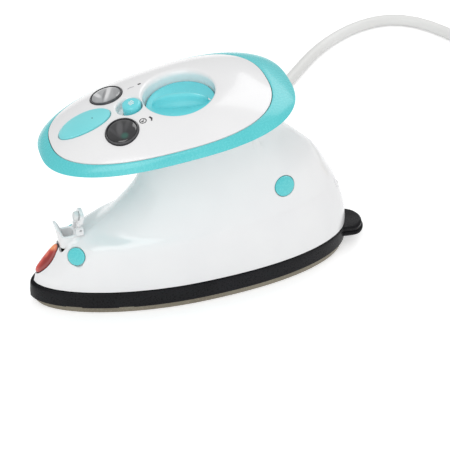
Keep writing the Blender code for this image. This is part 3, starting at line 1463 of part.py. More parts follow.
def make_electrics():
    x = nose_x + skirt_length - block_from_rear
    floor = casting_top + gap
    block = rounded_box("terminal_block", (block_length, block_width, block_height), block_groove)
    body = add_object("terminal_block", block, "ceramic", None,
                      Matrix.Translation((x, 0, floor + block_height / 2)))
    slots = bmesh.new()
    for i in (-1, 0, 1):
        place = Matrix.Translation((x, i * block_width / 3, floor + block_height))
        size = Matrix.Diagonal((block_length + overrun, block_groove, block_groove * 2, 1))
        bmesh.ops.create_cube(slots, size=1, matrix=place @ size)
    add_boolean(body, add_guide("block_slot_cutter", finish_mesh("block_slot_cutter", slots)),
                "DIFFERENCE")
    half, lead = fuse_length / 2, fuse_length / 2 + fuse_lead_length
    profile = [(0, -lead), (fuse_lead_radius, -lead), (fuse_lead_radius, -half),
               (fuse_radius, -half), (fuse_radius, half), (fuse_lead_radius, half),
               (fuse_lead_radius, lead), (0, lead)]
    across = Matrix.Rotation(math.pi / 2, 4, "X")
    add_object("thermal_fuse", lathe("thermal_fuse", profile, 12), "steel", None,
               Matrix.Translation((nose_x + fuse_from_nose, 0, floor + fuse_radius)) @ across)


def make_gland():
    """Tapered strain relief through the wall, with a thinner end held inside by a clamp."""
    place = gland_place()
    reach = gland_length - gap
    root, tip, inner = gland_root_radius, gland_tip_radius, gland_inner_radius
    neck = -gland_neck_length
    profile = [(0, neck - gland_inner_length), (inner, neck - gland_inner_length), (inner, neck),
               (root, neck), (root, housing_wall)]
    span = reach - housing_wall

    def radius_at(share):
        return root + (tip - root) * share

    for i in range(gland_ribs):
        a, b = (i + 0.4) / gland_ribs, (i + 0.7) / gland_ribs
        base_a, base_b = housing_wall + span * a, housing_wall + span * b
        profile += [(radius_at(a), base_a), (radius_at(a) - gland_rib, base_a + gland_rib),
                    (radius_at(b) - gland_rib, base_b - gland_rib), (radius_at(b), base_b)]
    profile += [(tip, reach), (0, reach)]
    add_object("cord_gland", lathe("cord_gland", profile, 16), "cord_white", None, place)
    bore = inner + gap
    side = 2 * (bore + clamp_wall)
    clamp = rounded_box("cord_clamp", (side, side, clamp_length), clamp_wall)
    hole = lathe("clamp_hole", [(bore, -clamp_length), (bore, clamp_length)], 16)
    seat = place @ Matrix.Translation((0, 0, neck - clamp_length / 2 - gap))
    body = add_object("cord_clamp", clamp, "black_plastic", None, seat)
    add_boolean(body, add_guide("clamp_hole", hole, None, seat), "DIFFERENCE")


def coil_path():
    """Coil in two layers: in along the first, up in the half turn where it reverses, out again."""
    start = Vector(cord_route[-1])
    heading = (start - Vector(cord_route[-2])).normalized()
    outer = coil_inner_radius + coil_pitch * coil_turns / 2
    start += heading * (gap + cord_diameter)
    centre = start + Vector((-heading.y, heading.x, 0)) * outer
    first_angle = math.atan2(start.y - centre.y, start.x - centre.x)
    middle = coil_turns / 2
    points = []
    steps = coil_turns * coil_points_per_turn
    for i in range(steps + 1):
        turn = i / coil_points_per_turn
        radius = coil_inner_radius + coil_pitch * abs(turn - middle)
        climb = min(max((turn - middle) * 2 + 0.5, 0), 1)
        climb = climb * climb * (3 - 2 * climb)
        angle = first_angle + math.tau * turn
        points.append(Vector((centre.x + radius * math.cos(angle), centre.y + radius * math.sin(angle),
                              start.z + coil_layer_rise * climb)))
    return centre, points


def least_gap(points, diameter, skip):
    """Smallest clear distance between far-apart stretches of a tube."""
    nearest = min((a - b).length for i, a in enumerate(points) for b in points[i + skip:])
    return nearest - diameter


def make_cord():
    route = spline_points(cord_route[1:-1], cord_points, cord_route[0], cord_route[-1])
    route = [Vector(cord_route[0])] + route + [Vector(cord_route[-1])]
    tube("cord", route, cord_radius, 2, "cord_white")
    centre, points = coil_path()
    heading = (points[-1] - points[-2])
    heading.z = 0
    heading.normalize()
    level = plug_height / 2
    tail = []
    for share in (0.25, 0.5, 0.75, 1.0):
        ease = share * share * (3 - 2 * share)
        spot = points[-1] + heading * lead_out * share
        spot.z = points[-1].z + (level - points[-1].z) * ease
        tail.append(spot)
    end = tail[-1] + heading * cord_diameter
    end.z = level
    first = route[-1] + (route[-1] - route[-2]).normalized() * gap
    coil = [first] + points + tail + [end]
    tube("cord_coil", coil, cord_radius, 1, "cord_white")
    print("coil clear gap %.2f mm" % (least_gap(points, cord_diameter, coil_points_per_turn // 2) / mm))
    total = sum((b - a).length for a, b in zip(route, route[1:]))
    total += sum((b - a).length for a, b in zip(coil, coil[1:]))
    print("cord length %.3f m" % total)
    make_tie(centre, points)
    make_plug(end + heading * gap, heading)


def make_tie(centre, points):
    """Flat band round all turns of the coil, on the side away from where the cord comes in."""
    away = (centre - points[0])
    away.z = 0
    away.normalize()
    side = Vector((-away.y, away.x, 0))
    half_turn = [p for p in points if (p - centre).dot(away) > 0
                 and abs((p - centre).dot(side)) < tie_width * 1.5]
    reach = [math.hypot((p - centre).x, (p - centre).y) for p in half_turn]
    margin = cord_radius + gap
    near, far = min(reach) - margin - coil_pitch / 4, max(reach) + margin
    low = min(p.z for p in half_turn) - margin
    high = max(p.z for p in half_turn) + margin
    corner = cord_radius
    steps = 4
    outline = []
    for grow in (tie_thickness, 0):
        ring = []
        box = ((far, high, 0), (near, high, 1), (near, low, 2), (far, low, 3))
        for r, z, quadrant in box:
            sr = 1 if r == far else -1
            sz = 1 if z == high else -1
            for i in range(steps + 1):
                angle = math.pi / 2 * (quadrant + i / steps)
                ring.append((r - sr * corner + (corner + grow) * math.cos(angle),
                             z - sz * corner + (corner + grow) * math.sin(angle)))
        outline.append(ring)
    rings = []
    for ring, shift in ((outline[0], -1), (outline[0], 1), (outline[1], 1), (outline[1], -1)):
        offset = side * tie_width / 2 * shift
        rings.append([Vector((centre.x, centre.y, 0)) + away * r + offset + Vector((0, 0, z))
                      for r, z in ring])
    rings.append(rings[0])
    add_object("cord_tie", loft("cord_tie", rings, close_ends=False), "black_plastic")


def make_plug(start, heading):
    place = frame_at(start, heading, Vector((0, 0, 1)))
    # The plug's own X is up, its Z runs from the cord to the blades
    sections = [(0, plug_tail_radius, plug_tail_radius), (plug_tail_length * 0.8, plug_tail_radius * 1.1,
                                                          plug_tail_radius * 1.1),
                (plug_tail_length, plug_height * 0.36, plug_nose_width * 0.36),
                (plug_tail_length + plug_length * 0.25, plug_height / 2, plug_nose_width / 2),
                (plug_tail_length + plug_length * 0.7, plug_height / 2, plug_width / 2),
                (plug_tail_length + plug_length * 0.94, plug_height / 2, plug_width / 2),
                (plug_tail_length + plug_length, plug_height * 0.46, plug_width * 0.46)]
    count = 20
    rings = []
    for z, half_x, half_y in sections:
        ring = []
        for i in range(count):
            angle = math.tau * (i + 0.5) / count
            c, s = math.cos(angle), math.sin(angle)
            ring.append(Vector((half_x * math.copysign(abs(c) ** 0.6, c) / abs(math.cos(math.pi / count)) ** 0.6,
                                half_y * math.copysign(abs(s) ** 0.6, s), z)))
        rings.append(ring)
    add_object("plug_body", loft("plug_body", rings), "cord_white", None, place)
    middle = plug_tail_length + plug_length + gap + blade_length / 2
    for hand, side in (("left", -1), ("right", 1)):
        name = "plug_blade_" + hand
        blade = rounded_box(name, (blade_width, blade_thickness, blade_length), blade_thickness / 3)
        seat = Matrix.Translation((0, side * blade_spacing / 2, middle))
        add_object(name, blade, "brass", None, place @ seat)


def build():
    handle_frame = bpy.data.objects.new("handle_frame", None)
    bpy.context.scene.collection.objects.link(handle_frame)
    handle_frame.matrix_local = handle_place
    make_soleplate()
    make_skirt()
    make_heating()
    spindle_foot = make_thermostat(handle_frame)
    make_housing(handle_frame)
    make_side_fixings()
    make_nose_lens()
    make_filler()
    make_tank()
    make_handle_base(handle_frame)
    make_handle_screws(handle_frame)
    make_handle_cover(handle_frame)
    board_level = make_cover_fittings(handle_frame)
    make_board(handle_frame, board_level)
    make_dial(handle_frame, spindle_foot)
    make_button(handle_frame)
    make_hose()
    make_electrics()
    make_gland()
    make_cord()


build()
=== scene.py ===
import json
import math

import bmesh
import bpy
from mathutils import Matrix, Vector
from mathutils.bvhtree import BVHTree
from mathutils.geometry import delaunay_2d_cdt


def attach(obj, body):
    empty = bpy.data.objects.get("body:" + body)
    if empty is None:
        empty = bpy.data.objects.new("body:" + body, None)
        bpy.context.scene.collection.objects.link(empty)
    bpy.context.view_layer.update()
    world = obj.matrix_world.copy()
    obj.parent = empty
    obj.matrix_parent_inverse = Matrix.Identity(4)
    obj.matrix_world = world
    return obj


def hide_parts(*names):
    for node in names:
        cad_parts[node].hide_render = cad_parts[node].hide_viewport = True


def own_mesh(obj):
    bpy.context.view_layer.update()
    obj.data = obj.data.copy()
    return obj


# Mini steam iron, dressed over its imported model. Metres, nose to -X, +Z up.

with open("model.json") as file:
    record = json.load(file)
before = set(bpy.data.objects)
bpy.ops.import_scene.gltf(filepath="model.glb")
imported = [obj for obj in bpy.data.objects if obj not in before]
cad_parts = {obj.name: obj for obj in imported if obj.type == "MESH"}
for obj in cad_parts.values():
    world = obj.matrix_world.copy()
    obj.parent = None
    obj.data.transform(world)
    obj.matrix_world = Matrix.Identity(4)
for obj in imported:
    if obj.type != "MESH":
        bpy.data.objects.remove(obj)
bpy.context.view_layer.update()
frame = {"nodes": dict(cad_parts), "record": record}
nodes = frame["nodes"]
mm = 0.001


# Scene helpers

def addObject(name, data):
    item = bpy.data.objects.new(name, data)
    bpy.context.scene.collection.objects.link(item)
    return item


def addNode(tree, kind, inputs=None, **facts):
    node = tree.nodes.new(kind)
    for fact, value in facts.items():
        setattr(node, fact, value)
    for socket, value in (inputs or {}).items():
        if isinstance(value, bpy.types.NodeSocket):
            tree.links.new(value, node.inputs[socket])
        else:
            node.inputs[socket].default_value = value
    return node


# Stage: camera, light and floor

photoView = {
    "aim": (0.0, 0.0, 0.0471),
    "azimuth": -15.42,
    "elevation": 37.5,
    "roll": -1.81,
    "distance": 0.65,
    "lens": 131.46,
    "shift": (0.0676, -0.1084),
    "sensor": 36,
    "clip": (0.05, 10),
}


def makeCamera(view):
    azimuth, elevation = math.radians(view["azimuth"]), math.radians(view["elevation"])
    level = Vector((math.cos(azimuth), math.sin(azimuth), 0))
    back = Vector((math.sin(azimuth), -math.cos(azimuth), 0)) * math.cos(elevation)
    back.z = math.sin(elevation)
    upright = back.cross(level)
    roll = math.radians(view["roll"])
    side = math.cos(roll) * level + math.sin(roll) * upright
    top = math.cos(roll) * upright - math.sin(roll) * level
    data = bpy.data.cameras.new("photoCamera")
    data.lens = view["lens"]
    data.sensor_width = view["sensor"]
    data.shift_x, data.shift_y = view["shift"]
    data.clip_start, data.clip_end = view["clip"]
    camera = addObject("photoCamera", data)
    turn = Matrix((side, top, back)).transposed().to_4x4()
    camera.matrix_world = Matrix.Translation(Vector(view["aim"]) + back * view["distance"]) @ turn
    bpy.context.scene.camera = camera


studio = {
    "floorColor": (0.86, 0.86, 0.86),
    "floorReach": 4.0,
    "floorLift": 0.42,             # extra white that only the lens and reflections see
    "worldColor": (1.0, 1.0, 1.0),
    "worldStrength": 0.62,
    "lamps": [                     # name, place, aim, size, watts
        ("keyPanel", (-0.45, -0.55, 0.95), (0.0, 0.0, 0.03), 0.7, 3.5),
        ("frontFill", (-0.35, -0.95, 0.22), (0.0, 0.0, 0.06), 0.8, 1.5),
        ("rearPanel", (0.55, 0.60, 0.80), (0.0, 0.0, 0.05), 0.6, 2.2),
        ("edgeStrip", (0.62, -0.60, 0.35), (0.02, 0.0, 0.03), 0.25, 0.7),
    ],
}


def makeStudio(look):
    for name, place, aim, size, watts in look["lamps"]:
        data = bpy.data.lights.new(name, "AREA")
        data.size = size
        data.energy = watts
        lamp = addObject(name, data)
        lamp.location = place
        lamp.rotation_euler = (Vector(aim) - Vector(place)).to_track_quat("-Z", "Y").to_euler()
    world = bpy.data.worlds.new("softRoom")
    bpy.context.scene.world = world
    world.use_nodes = True
    air = world.node_tree
    room = air.nodes["Background"]
    ray = addNode(air, "ShaderNodeLightPath")
    pick = addNode(air, "ShaderNodeMix", {
        "Factor": ray.outputs["Is Camera Ray"], "A": look["worldStrength"], "B": 1.0})
    room.inputs["Color"].default_value = (*look["worldColor"], 1)
    air.links.new(pick.outputs["Result"], room.inputs["Strength"])

    mesh = bpy.data.meshes.new("floor")
    reach = look["floorReach"]
    corners = [(-reach, -reach, 0), (reach, -reach, 0), (reach, reach, 0), (-reach, reach, 0)]
    mesh.from_pydata(corners, [], [(0, 1, 2, 3)])
    floor = addObject("floor", mesh)
    paper = bpy.data.materials.new("palePaper")
    paper.use_nodes = True
    tree = paper.node_tree
    tree.nodes.clear()
    diffuse = addNode(tree, "ShaderNodeBsdfDiffuse", {"Color": (*look["floorColor"], 1)})
    glow = addNode(tree, "ShaderNodeEmission", {"Strength": look["floorLift"]})
    both = addNode(tree, "ShaderNodeAddShader", {0: diffuse.outputs[0], 1: glow.outputs[0]})
    seen = addNode(tree, "ShaderNodeLightPath")
    either = addNode(tree, "ShaderNodeMath", {
        0: seen.outputs["Is Camera Ray"], 1: seen.outputs["Is Glossy Ray"]}, operation="MAXIMUM")
    anyRay = addNode(tree, "ShaderNodeMath", {
        0: either.outputs[0], 1: seen.outputs["Is Transmission Ray"]}, operation="MAXIMUM")
    mix = addNode(tree, "ShaderNodeMixShader", {
        0: anyRay.outputs[0], 1: diffuse.outputs[0], 2: both.outputs[0]})
    addNode(tree, "ShaderNodeOutputMaterial", {"Surface": mix.outputs[0]})
    mesh.materials.append(paper)
    bpy.context.scene.view_settings.view_transform = "Standard"


makeCamera(photoView)
makeStudio(studio)
print("stage ready")


# Finishes

weave = {
    "patchDetail": 2.0,
    "grainDetail": 4.0,
    "blend": (0.35, 0.65),         # noise levels between which the patches fade
    "fleck": (0.0, 0.35),          # the same for the flecks' cells
    "spread": (0.3, 0.7),          # and for the roughness
}


def startMaterial(name, sockets):
    material = bpy.data.materials.new(name)
    material.use_nodes = True
    tree = material.node_tree
    shader = tree.nodes["Principled BSDF"]
    for socket, value in sockets.items():
        shader.inputs[socket].default_value = value
    return material, tree, shader, addNode(tree, "ShaderNodeTexCoord").outputs["Object"]


def noiseAt(tree, where, scale, detail, stretch=None):
    if stretch:
        where = addNode(tree, "ShaderNodeMapping", {
            "Scale": stretch, "Vector": where}).outputs["Vector"]
    return addNode(tree, "ShaderNodeTexNoise", {
        "Scale": scale, "Detail": detail, "Vector": where}).outputs["Fac"]


def blendColors(tree, factor, first, second, levels):
    spread = addNode(tree, "ShaderNodeMapRange", {
        "From Min": levels[0], "From Max": levels[1], "Value": factor})
    second = (*second, 1) if isinstance(second, tuple) else second
    return addNode(tree, "ShaderNodeMix", {
        "Factor": spread.outputs["Result"], "A": (*first, 1), "B": second},
        data_type="RGBA").outputs["Result"]


def spreadValue(tree, factor, low, high):
    least, most = weave["spread"]
    return addNode(tree, "ShaderNodeMapRange", {
        "From Min": least, "From Max": most, "To Min": low, "To Max": high,
        "Value": factor}).outputs["Result"]


def addBump(tree, shader, height, depth):
    bump = addNode(tree, "ShaderNodeBump", {"Distance": depth, "Strength": 1.0, "Height": height})
    tree.links.new(bump.outputs["Normal"], shader.inputs["Normal"])


def makeFinish(name, color, tint, patch, grain, roughness, depth, sockets=None, stretch=None,
               fleck=None, flake=0):
    material, tree, shader, where = startMaterial(name, sockets or {})
    broad = noiseAt(tree, where, patch, weave["patchDetail"])
    paint = blendColors(tree, broad, color, tint, weave["blend"])
    if fleck:
        cells = addNode(tree, "ShaderNodeTexVoronoi", {"Scale": flake, "Vector": where})
        paint = blendColors(tree, cells.outputs["Distance"], fleck, paint, weave["fleck"])
    tree.links.new(paint, shader.inputs["Base Color"])
    fine = noiseAt(tree, where, grain, weave["grainDetail"], stretch)
    tree.links.new(spreadValue(tree, fine, *roughness), shader.inputs["Roughness"])
    addBump(tree, shader, fine, depth * mm)
    return material


def localTo(tree, where, place):
    back = place.inverted()
    return addNode(tree, "ShaderNodeMapping", {
        "Location": back.to_translation(), "Rotation": back.to_euler(),
        "Vector": where}).outputs["Vector"]


def spotMask(tree, local, centre, half, soft, turn):
    spot = addNode(tree, "ShaderNodeMapping", {
        "Location": (*centre, 0), "Rotation": (0, 0, turn), "Scale": (*half, 1),
        "Vector": local}, vector_type="TEXTURE")
    flat = addNode(tree, "ShaderNodeVectorMath", {
        0: spot.outputs["Vector"], 1: (1, 1, 0)}, operation="MULTIPLY")
    length = addNode(tree, "ShaderNodeVectorMath", {
        0: flat.outputs["Vector"]}, operation="LENGTH")
    return addNode(tree, "ShaderNodeMapRange", {
        "From Min": 1 + soft, "From Max": max(1 - soft, 0), "Value": length.outputs["Value"]},
        interpolation_type="SMOOTHSTEP").outputs["Result"]


# Paints spots of light and shade into a finish's colour: painted highlights, reflections, glow
# and shade.
def paintLightSpots(name, place, spots):
    tree = made[name].node_tree
    shader = tree.nodes["Principled BSDF"]
    local = localTo(tree, addNode(tree, "ShaderNodeTexCoord").outputs["Object"], place)
    color = shader.inputs["Base Color"].links[0].from_socket
    for centre, half, soft, turn, paint, strength in spots:
        centre, half = ([value * mm for value in pair] for pair in (centre, half))
        mask = spotMask(tree, local, centre, half, soft, math.radians(turn))
        amount = addNode(tree, "ShaderNodeMath", {0: mask, 1: strength}, operation="MULTIPLY")
        color = addNode(tree, "ShaderNodeMix", {
            "Factor": amount.outputs[0], "A": color, "B": (*paint, 1)},
            data_type="RGBA").outputs["Result"]
    tree.links.new(color, shader.inputs["Base Color"])


finishes = {
    # colour, tint of its patches, patch scale, grain scale, roughness range, grain depth in mm,
    # shader sockets, stretch of the grain
    "shellWhite": ((0.845, 0.845, 0.855), (0.87, 0.87, 0.875), 40, 900, (0.17, 0.24), 0.0015,
        {"Coat Weight": 0.35, "Coat Roughness": 0.06, "IOR": 1.5}),
    "rimTeal": ((0.095, 0.60, 0.635), (0.115, 0.635, 0.665), 45, 1100, (0.24, 0.30), 0.0004,
        {"Coat Weight": 0.3, "Coat Roughness": 0.1}),
    "dialTeal": ((0.15, 0.70, 0.77), (0.17, 0.74, 0.80), 60, 1100, (0.20, 0.28), 0.0015,
        {"Coat Weight": 0.35, "Coat Roughness": 0.07}),
    "restTeal": ((0.20, 0.72, 0.76), (0.23, 0.75, 0.79), 60, 1100, (0.28, 0.36), 0.0015,
        {"Coat Weight": 0.2, "Coat Roughness": 0.12}),
    "smokedWindow": ((0.008, 0.008, 0.010), (0.02, 0.02, 0.023), 260, 600, (0.05, 0.10), 0.002,
        {"Coat Weight": 0.8, "Coat Roughness": 0.03}),
    # The far window: the same smoked lens painted lighter grey, a painted reflection of the
    # bright background.
    "paintedReflectionWindow": ((0.26, 0.27, 0.28), (0.38, 0.39, 0.40), 260, 600, (0.08, 0.16), 0.002,
        {"Coat Weight": 0.8, "Coat Roughness": 0.03}),
    "sealWhite": ((0.74, 0.75, 0.75), (0.79, 0.80, 0.80), 90, 2400, (0.5, 0.62), 0.01),
    "skirtBlack": ((0.008, 0.008, 0.009), (0.012, 0.012, 0.014), 60, 1500, (0.24, 0.34), 0.003,
        {"Specular IOR Level": 0.10}),
    "redLamp": ((0.52, 0.03, 0.022), (0.68, 0.07, 0.05), 130, 420, (0.08, 0.16), 0.02,
        {"Coat Weight": 0.8, "Coat Roughness": 0.03}),
    "bezelDark": ((0.05, 0.05, 0.055), (0.08, 0.08, 0.085), 150, 900, (0.18, 0.28), 0.005),
    "clearMoulding": ((0.78, 0.84, 0.86), (0.84, 0.88, 0.90), 70, 500, (0.08, 0.18), 0.006,
        {"Transmission Weight": 0.55, "IOR": 1.49}),
    "castAluminium": ((0.55, 0.55, 0.56), (0.66, 0.66, 0.67), 90, 1600, (0.38, 0.55), 0.03,
        {"Metallic": 1.0}),
    "plainSteel": ((0.50, 0.50, 0.51), (0.60, 0.60, 0.61), 120, 700, (0.24, 0.40), 0.006,
        {"Metallic": 1.0}, (1, 1, 12)),
    "turnedBrass": ((0.58, 0.42, 0.17), (0.68, 0.51, 0.24), 100, 900, (0.2, 0.34), 0.006,
        {"Metallic": 1.0}, (1, 12, 1)),
    "firedCeramic": ((0.72, 0.69, 0.62), (0.78, 0.76, 0.70), 140, 1800, (0.45, 0.65), 0.03),
    "boardGreen": ((0.03, 0.20, 0.08), (0.05, 0.27, 0.11), 300, 1200, (0.3, 0.5), 0.01),
    "resinGreen": ((0.05, 0.42, 0.20), (0.10, 0.60, 0.30), 400, 500, (0.08, 0.18), 0.005,
        {"Coat Weight": 0.6}),
    "resinAmber": ((0.70, 0.32, 0.05), (0.85, 0.46, 0.10), 400, 500, (0.08, 0.18), 0.005,
        {"Coat Weight": 0.6}),
    "greyRubber": ((0.42, 0.43, 0.44), (0.50, 0.51, 0.52), 90, 2200, (0.55, 0.7), 0.015),
    "flexWhite": ((0.78, 0.78, 0.765), (0.83, 0.83, 0.82), 30, 700, (0.36, 0.50), 0.012),
    "inkDark": ((0.015, 0.015, 0.018), (0.03, 0.03, 0.034), 600, 4000, (0.35, 0.5), 0.002),
    "inkGrey": ((0.42, 0.42, 0.44), (0.48, 0.48, 0.50), 600, 4000, (0.35, 0.5), 0.002),
    "inkWhite": ((0.86, 0.88, 0.88), (0.90, 0.91, 0.91), 600, 4000, (0.35, 0.5), 0.002),
}
made = {name: makeFinish(name, *look) for name, look in finishes.items()}
made["champagneCoat"] = makeFinish(
    "champagneCoat", (0.20, 0.175, 0.13), (0.26, 0.235, 0.18), 60, 2600, (0.28, 0.42), 0.01,
    {"Metallic": 0.55}, fleck=(0.40, 0.36, 0.29), flake=1400)
slotOf = {
    "shellWhite": "white_plastic", "sealWhite": "white_plastic", "rimTeal": "teal_plastic",
    "dialTeal": "teal_plastic", "restTeal": "teal_plastic", "smokedWindow": "smoked_lens",
    "paintedReflectionWindow": "smoked_lens", "bezelDark": "dark_rim", "redLamp": "red_lens",
    "skirtBlack": "black_plastic", "champagneCoat": "champagne_coat", "plainSteel": "steel",
    "flexWhite": "cord_white",
}
finishNodes = {
    "champagneCoat": "soleplate",
    "skirtBlack": "heat_skirt cord_clamp cord_tie",
    "shellWhite": "body_left_shell body_right_shell handle_cover filler_spout filler_lid",
    "rimTeal": "cap_front_left cap_front_right cap_rear_left cap_rear_right handle_base "
        "thumb_rest",
    "dialTeal": "temperature_dial steam_button",
    "sealWhite": "filler_plug",
    "redLamp": "nose_lens",
    "bezelDark": "nose_lens_rim window_rim_left window_rim_right",
    "smokedWindow": "window_lens_left",
    "paintedReflectionWindow": "window_lens_right",
    "clearMoulding": "water_tank steam_pump",
    "castAluminium": "heating_casting",
    "plainSteel": "chamber_lid heating_element thermostat_bracket thermal_fuse "
        "front_housing_screw rear_housing_screw rear_screw handle_screw_left handle_screw_right "
        "filler_hinge_pin dial_spindle pump_spring",
    "turnedBrass": "drip_valve plug_blade_left plug_blade_right",
    "firedCeramic": "thermostat terminal_block",
    "boardGreen": "indicator_board",
    "resinGreen": "indicator_led_left",
    "resinAmber": "indicator_led_right nose_lamp",
    "greyRubber": "steam_hose pump_piston",
    "flexWhite": "cord cord_coil cord_gland plug_body",
}
nodeFinish = {nodeName: finish for finish, names in finishNodes.items()
              for nodeName in names.split()}
for nodeName, node in nodes.items():
    node.data.materials.clear()
    node.data.materials.append(made[nodeFinish[nodeName]])
print("finishes ready:", len(made))


# Mouldings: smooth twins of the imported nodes, with their corners kept

seam = {"reach": 0.25 * mm, "left": 0.015 * mm}
tab = {"start": 64.02 * mm, "out": 2.2 * mm, "down": 1.2 * mm}


def closeSeam(spot):
    if abs(spot.y) < seam["reach"]:
        spot.y = math.copysign(seam["left"], spot.y)


def setTab(spot):
    if spot.x > tab["start"]:
        spot.x += tab["out"]
        spot.z -= tab["down"]


moulding = {
    "shapes": {"body_left_shell": closeSeam, "body_right_shell": closeSeam, "heat_skirt": setTab},
    "join": 0.01 * mm,             # corners closer than this are one
    "corner": math.radians(34),    # edges sharper than this stay crisp
    "flat": math.radians(25),      # triangles this flat to each other may join
    "skew": math.radians(50),
    "levels": 2,
    "twins": {
        "soleplate": "solePlate", "heat_skirt": "heatSkirt",
        "body_left_shell": "shellLeft", "body_right_shell": "shellRight",
        "filler_spout": "fillerSpout", "filler_lid": "fillerLid", "filler_plug": "fillerSeal",
        "cap_front_left": "frontCapLeft", "cap_front_right": "frontCapRight",
        "cap_rear_left": "rearCapLeft", "cap_rear_right": "rearCapRight",
        "cord_gland": "cordRelief", "plug_body": "plugBody", "cord_tie": "cordTie",
    },
}
bodyOf = {member: body for body, members in frame["record"]["behaviour"]["bodies"].items()
          for member in members}


def addPiece(name, data, body, slotName, *stoodFor):
    piece = addObject(name, data)
    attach(piece, body)
    if stoodFor:
        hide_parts(*stoodFor)
    return piece


def smoothTwin(nodeName, pieceName, look):
    mesh = nodes[nodeName].data.copy()
    mesh.name = pieceName
    form = bmesh.new()
    form.from_mesh(mesh)
    for vertex in form.verts:
        look["shapes"].get(nodeName, lambda spot: None)(vertex.co)
    bmesh.ops.remove_doubles(form, verts=form.verts, dist=look["join"])
    bmesh.ops.dissolve_degenerate(form, edges=form.edges, dist=look["join"])
    bmesh.ops.join_triangles(form, faces=form.faces, angle_face_threshold=look["flat"],
                             angle_shape_threshold=look["skew"])
    layers = form.edges.layers.float
    crease = layers.get("crease_edge") or layers.new("crease_edge")
    for edge in form.edges:
        crisp = len(edge.link_faces) != 2 or edge.calc_face_angle(0) > look["corner"]
        edge.smooth = not crisp
        edge[crease] = 1.0 if crisp else 0.0
    for face in form.faces:
        face.smooth = True
    form.to_mesh(mesh)
    form.free()
    piece = addPiece(pieceName, mesh, bodyOf[nodeName], slotOf[nodeFinish[nodeName]], nodeName)
    rounded = piece.modifiers.new("rounded", "SUBSURF")
    rounded.levels = rounded.render_levels = look["levels"]


for nodeName, pieceName in moulding["twins"].items():
    smoothTwin(nodeName, pieceName, moulding)


# Mesh helpers

freshCorner = math.radians(38)         # edges sharper than this stay crisp on the new pieces


def pieceFromForm(name, form, body, finish, *stoodFor):
    bmesh.ops.recalc_face_normals(form, faces=form.faces)
    for face in form.faces:
        face.smooth = True
    for edge in form.edges:
        edge.smooth = len(edge.link_faces) == 2 and edge.calc_face_angle(0) < freshCorner
    mesh = bpy.data.meshes.new(name)
    form.to_mesh(mesh)
    form.free()
    mesh.materials.append(made[finish])
    addPiece(name, mesh, body, slotOf.get(finish), *stoodFor)


def joinRows(form, rows, ringed=False):
    for low, high in zip(rows, rows[1:] + rows[:1] if ringed else rows[1:]):
        count = len(low)
        for i in range(count):
            form.faces.new((low[i], low[(i + 1) % count], high[(i + 1) % count], high[i]))


def loftForm(rings, ringed=False, form=None):
    form = form or bmesh.new()
    rows = [[form.verts.new(point) for point in ring] for ring in rings]
    joinRows(form, rows, ringed)
    if not ringed:
        for row, turned in ((rows[0], True), (rows[-1], False)):
            middle = form.verts.new(sum((vertex.co for vertex in row), Vector()) / len(row))
            for i in range(len(row)):
                pair = (row[i], row[(i + 1) % len(row)])
                form.faces.new((middle, *(reversed(pair) if turned else pair)))
    return form


def circle(count, long, wide=None, x=0.0, y=0.0):
    wide = long if wide is None else wide
    return [(x + long * math.cos(math.tau * i / count), y + wide * math.sin(math.tau * i / count))
            for i in range(count)]


def turnedForm(profile, place, count=64, ringed=False):
    rings = [[place @ Vector((*spot, height)) for spot in circle(count, radius)]
             for radius, height in profile]
    return loftForm(rings, ringed=ringed)


def inMm(profile):
    return [(radius * mm, height * mm) for radius, height in profile]


# Supply cord: one open curve from the gland to the plug, with its stored length in a coil

cord = {
    "diameter": 5.5 * mm,
    "route": [(29.6, 40.5, 54.0), (30.1, 46.2, 53.6), (31.8, 55.4, 49.6), (35.6, 64.6, 39.6),
              (40.4, 72.6, 26.4), (45.2, 81.5, 14.0), (51.4, 89.3, 6.2), (59.0, 95.8, 3.2),
              (67.6, 102.2, 2.9), (80.8, 114.6, 2.9), (98.8, 131.6, 2.9), (115.1, 142.2, 2.9),
              (130.4, 147.6, 2.9), (143.2, 147.8, 2.9), (153.4, 143.2, 2.9), (161.0, 135.6, 2.9),
              (167.0, 126.2, 2.9), (172.2, 115.4, 3.3), (177.2, 103.4, 3.9), (179.5, 97.7, 3.9)],
    "routePoints": 34,
    "turns": 7,
    "turnPoints": 24,
    "innerRadius": 22.6 * mm,
    "pitch": 6.1 * mm,
    "leadOut": 16.0 * mm,
    "plugLevel": 8.5 * mm,
    "gap": 0.3 * mm,
    "fineSteps": 24,
    "tailShares": (0.25, 0.5, 0.75, 1.0),
    "bevelSteps": 5,
}


def evenPoints(points, count, before, after):
    ends = [before] + points + [after]
    fine = []
    for a, b, c, d in zip(ends, ends[1:], ends[2:], ends[3:]):
        for i in range(cord["fineSteps"]):
            t = i / cord["fineSteps"]
            fine.append(0.5 * (2 * b + (c - a) * t + (2 * a - 5 * b + 4 * c - d) * t ** 2
                               + (3 * b - a - 3 * c + d) * t ** 3))
    fine.append(points[-1])
    lengths = [0]
    for a, b in zip(fine, fine[1:]):
        lengths.append(lengths[-1] + (b - a).length)
    result, k = [], 0
    for i in range(count):
        target = lengths[-1] * i / (count - 1)
        while k < len(fine) - 2 and lengths[k + 1] < target:
            k += 1
        span = lengths[k + 1] - lengths[k]
        result.append(fine[k].lerp(fine[k + 1], (target - lengths[k]) / span if span else 0))
    return result


def smoothStep(value):
    value = min(max(value, 0), 1)
    return value * value * (3 - 2 * value)


def coilPoints(look, start, heading):
    outer = look["innerRadius"] + look["pitch"] * look["turns"] / 2
    start = start + heading * (look["gap"] + look["diameter"])
    centre = start + Vector((-heading.y, heading.x, 0)) * outer
    firstAngle = math.atan2(start.y - centre.y, start.x - centre.x)
    middle = look["turns"] / 2
    points = []
    for i in range(look["turns"] * look["turnPoints"] + 1):
        turn = i / look["turnPoints"]
        radius = look["innerRadius"] + look["pitch"] * abs(turn - middle)
        angle = firstAngle + math.tau * turn
        spot = centre + Vector((math.cos(angle), math.sin(angle), 0)) * radius
        spot.z = start.z + look["pitch"] * smoothStep((turn - middle) * 2 + 0.5)
        points.append(spot)
    return points


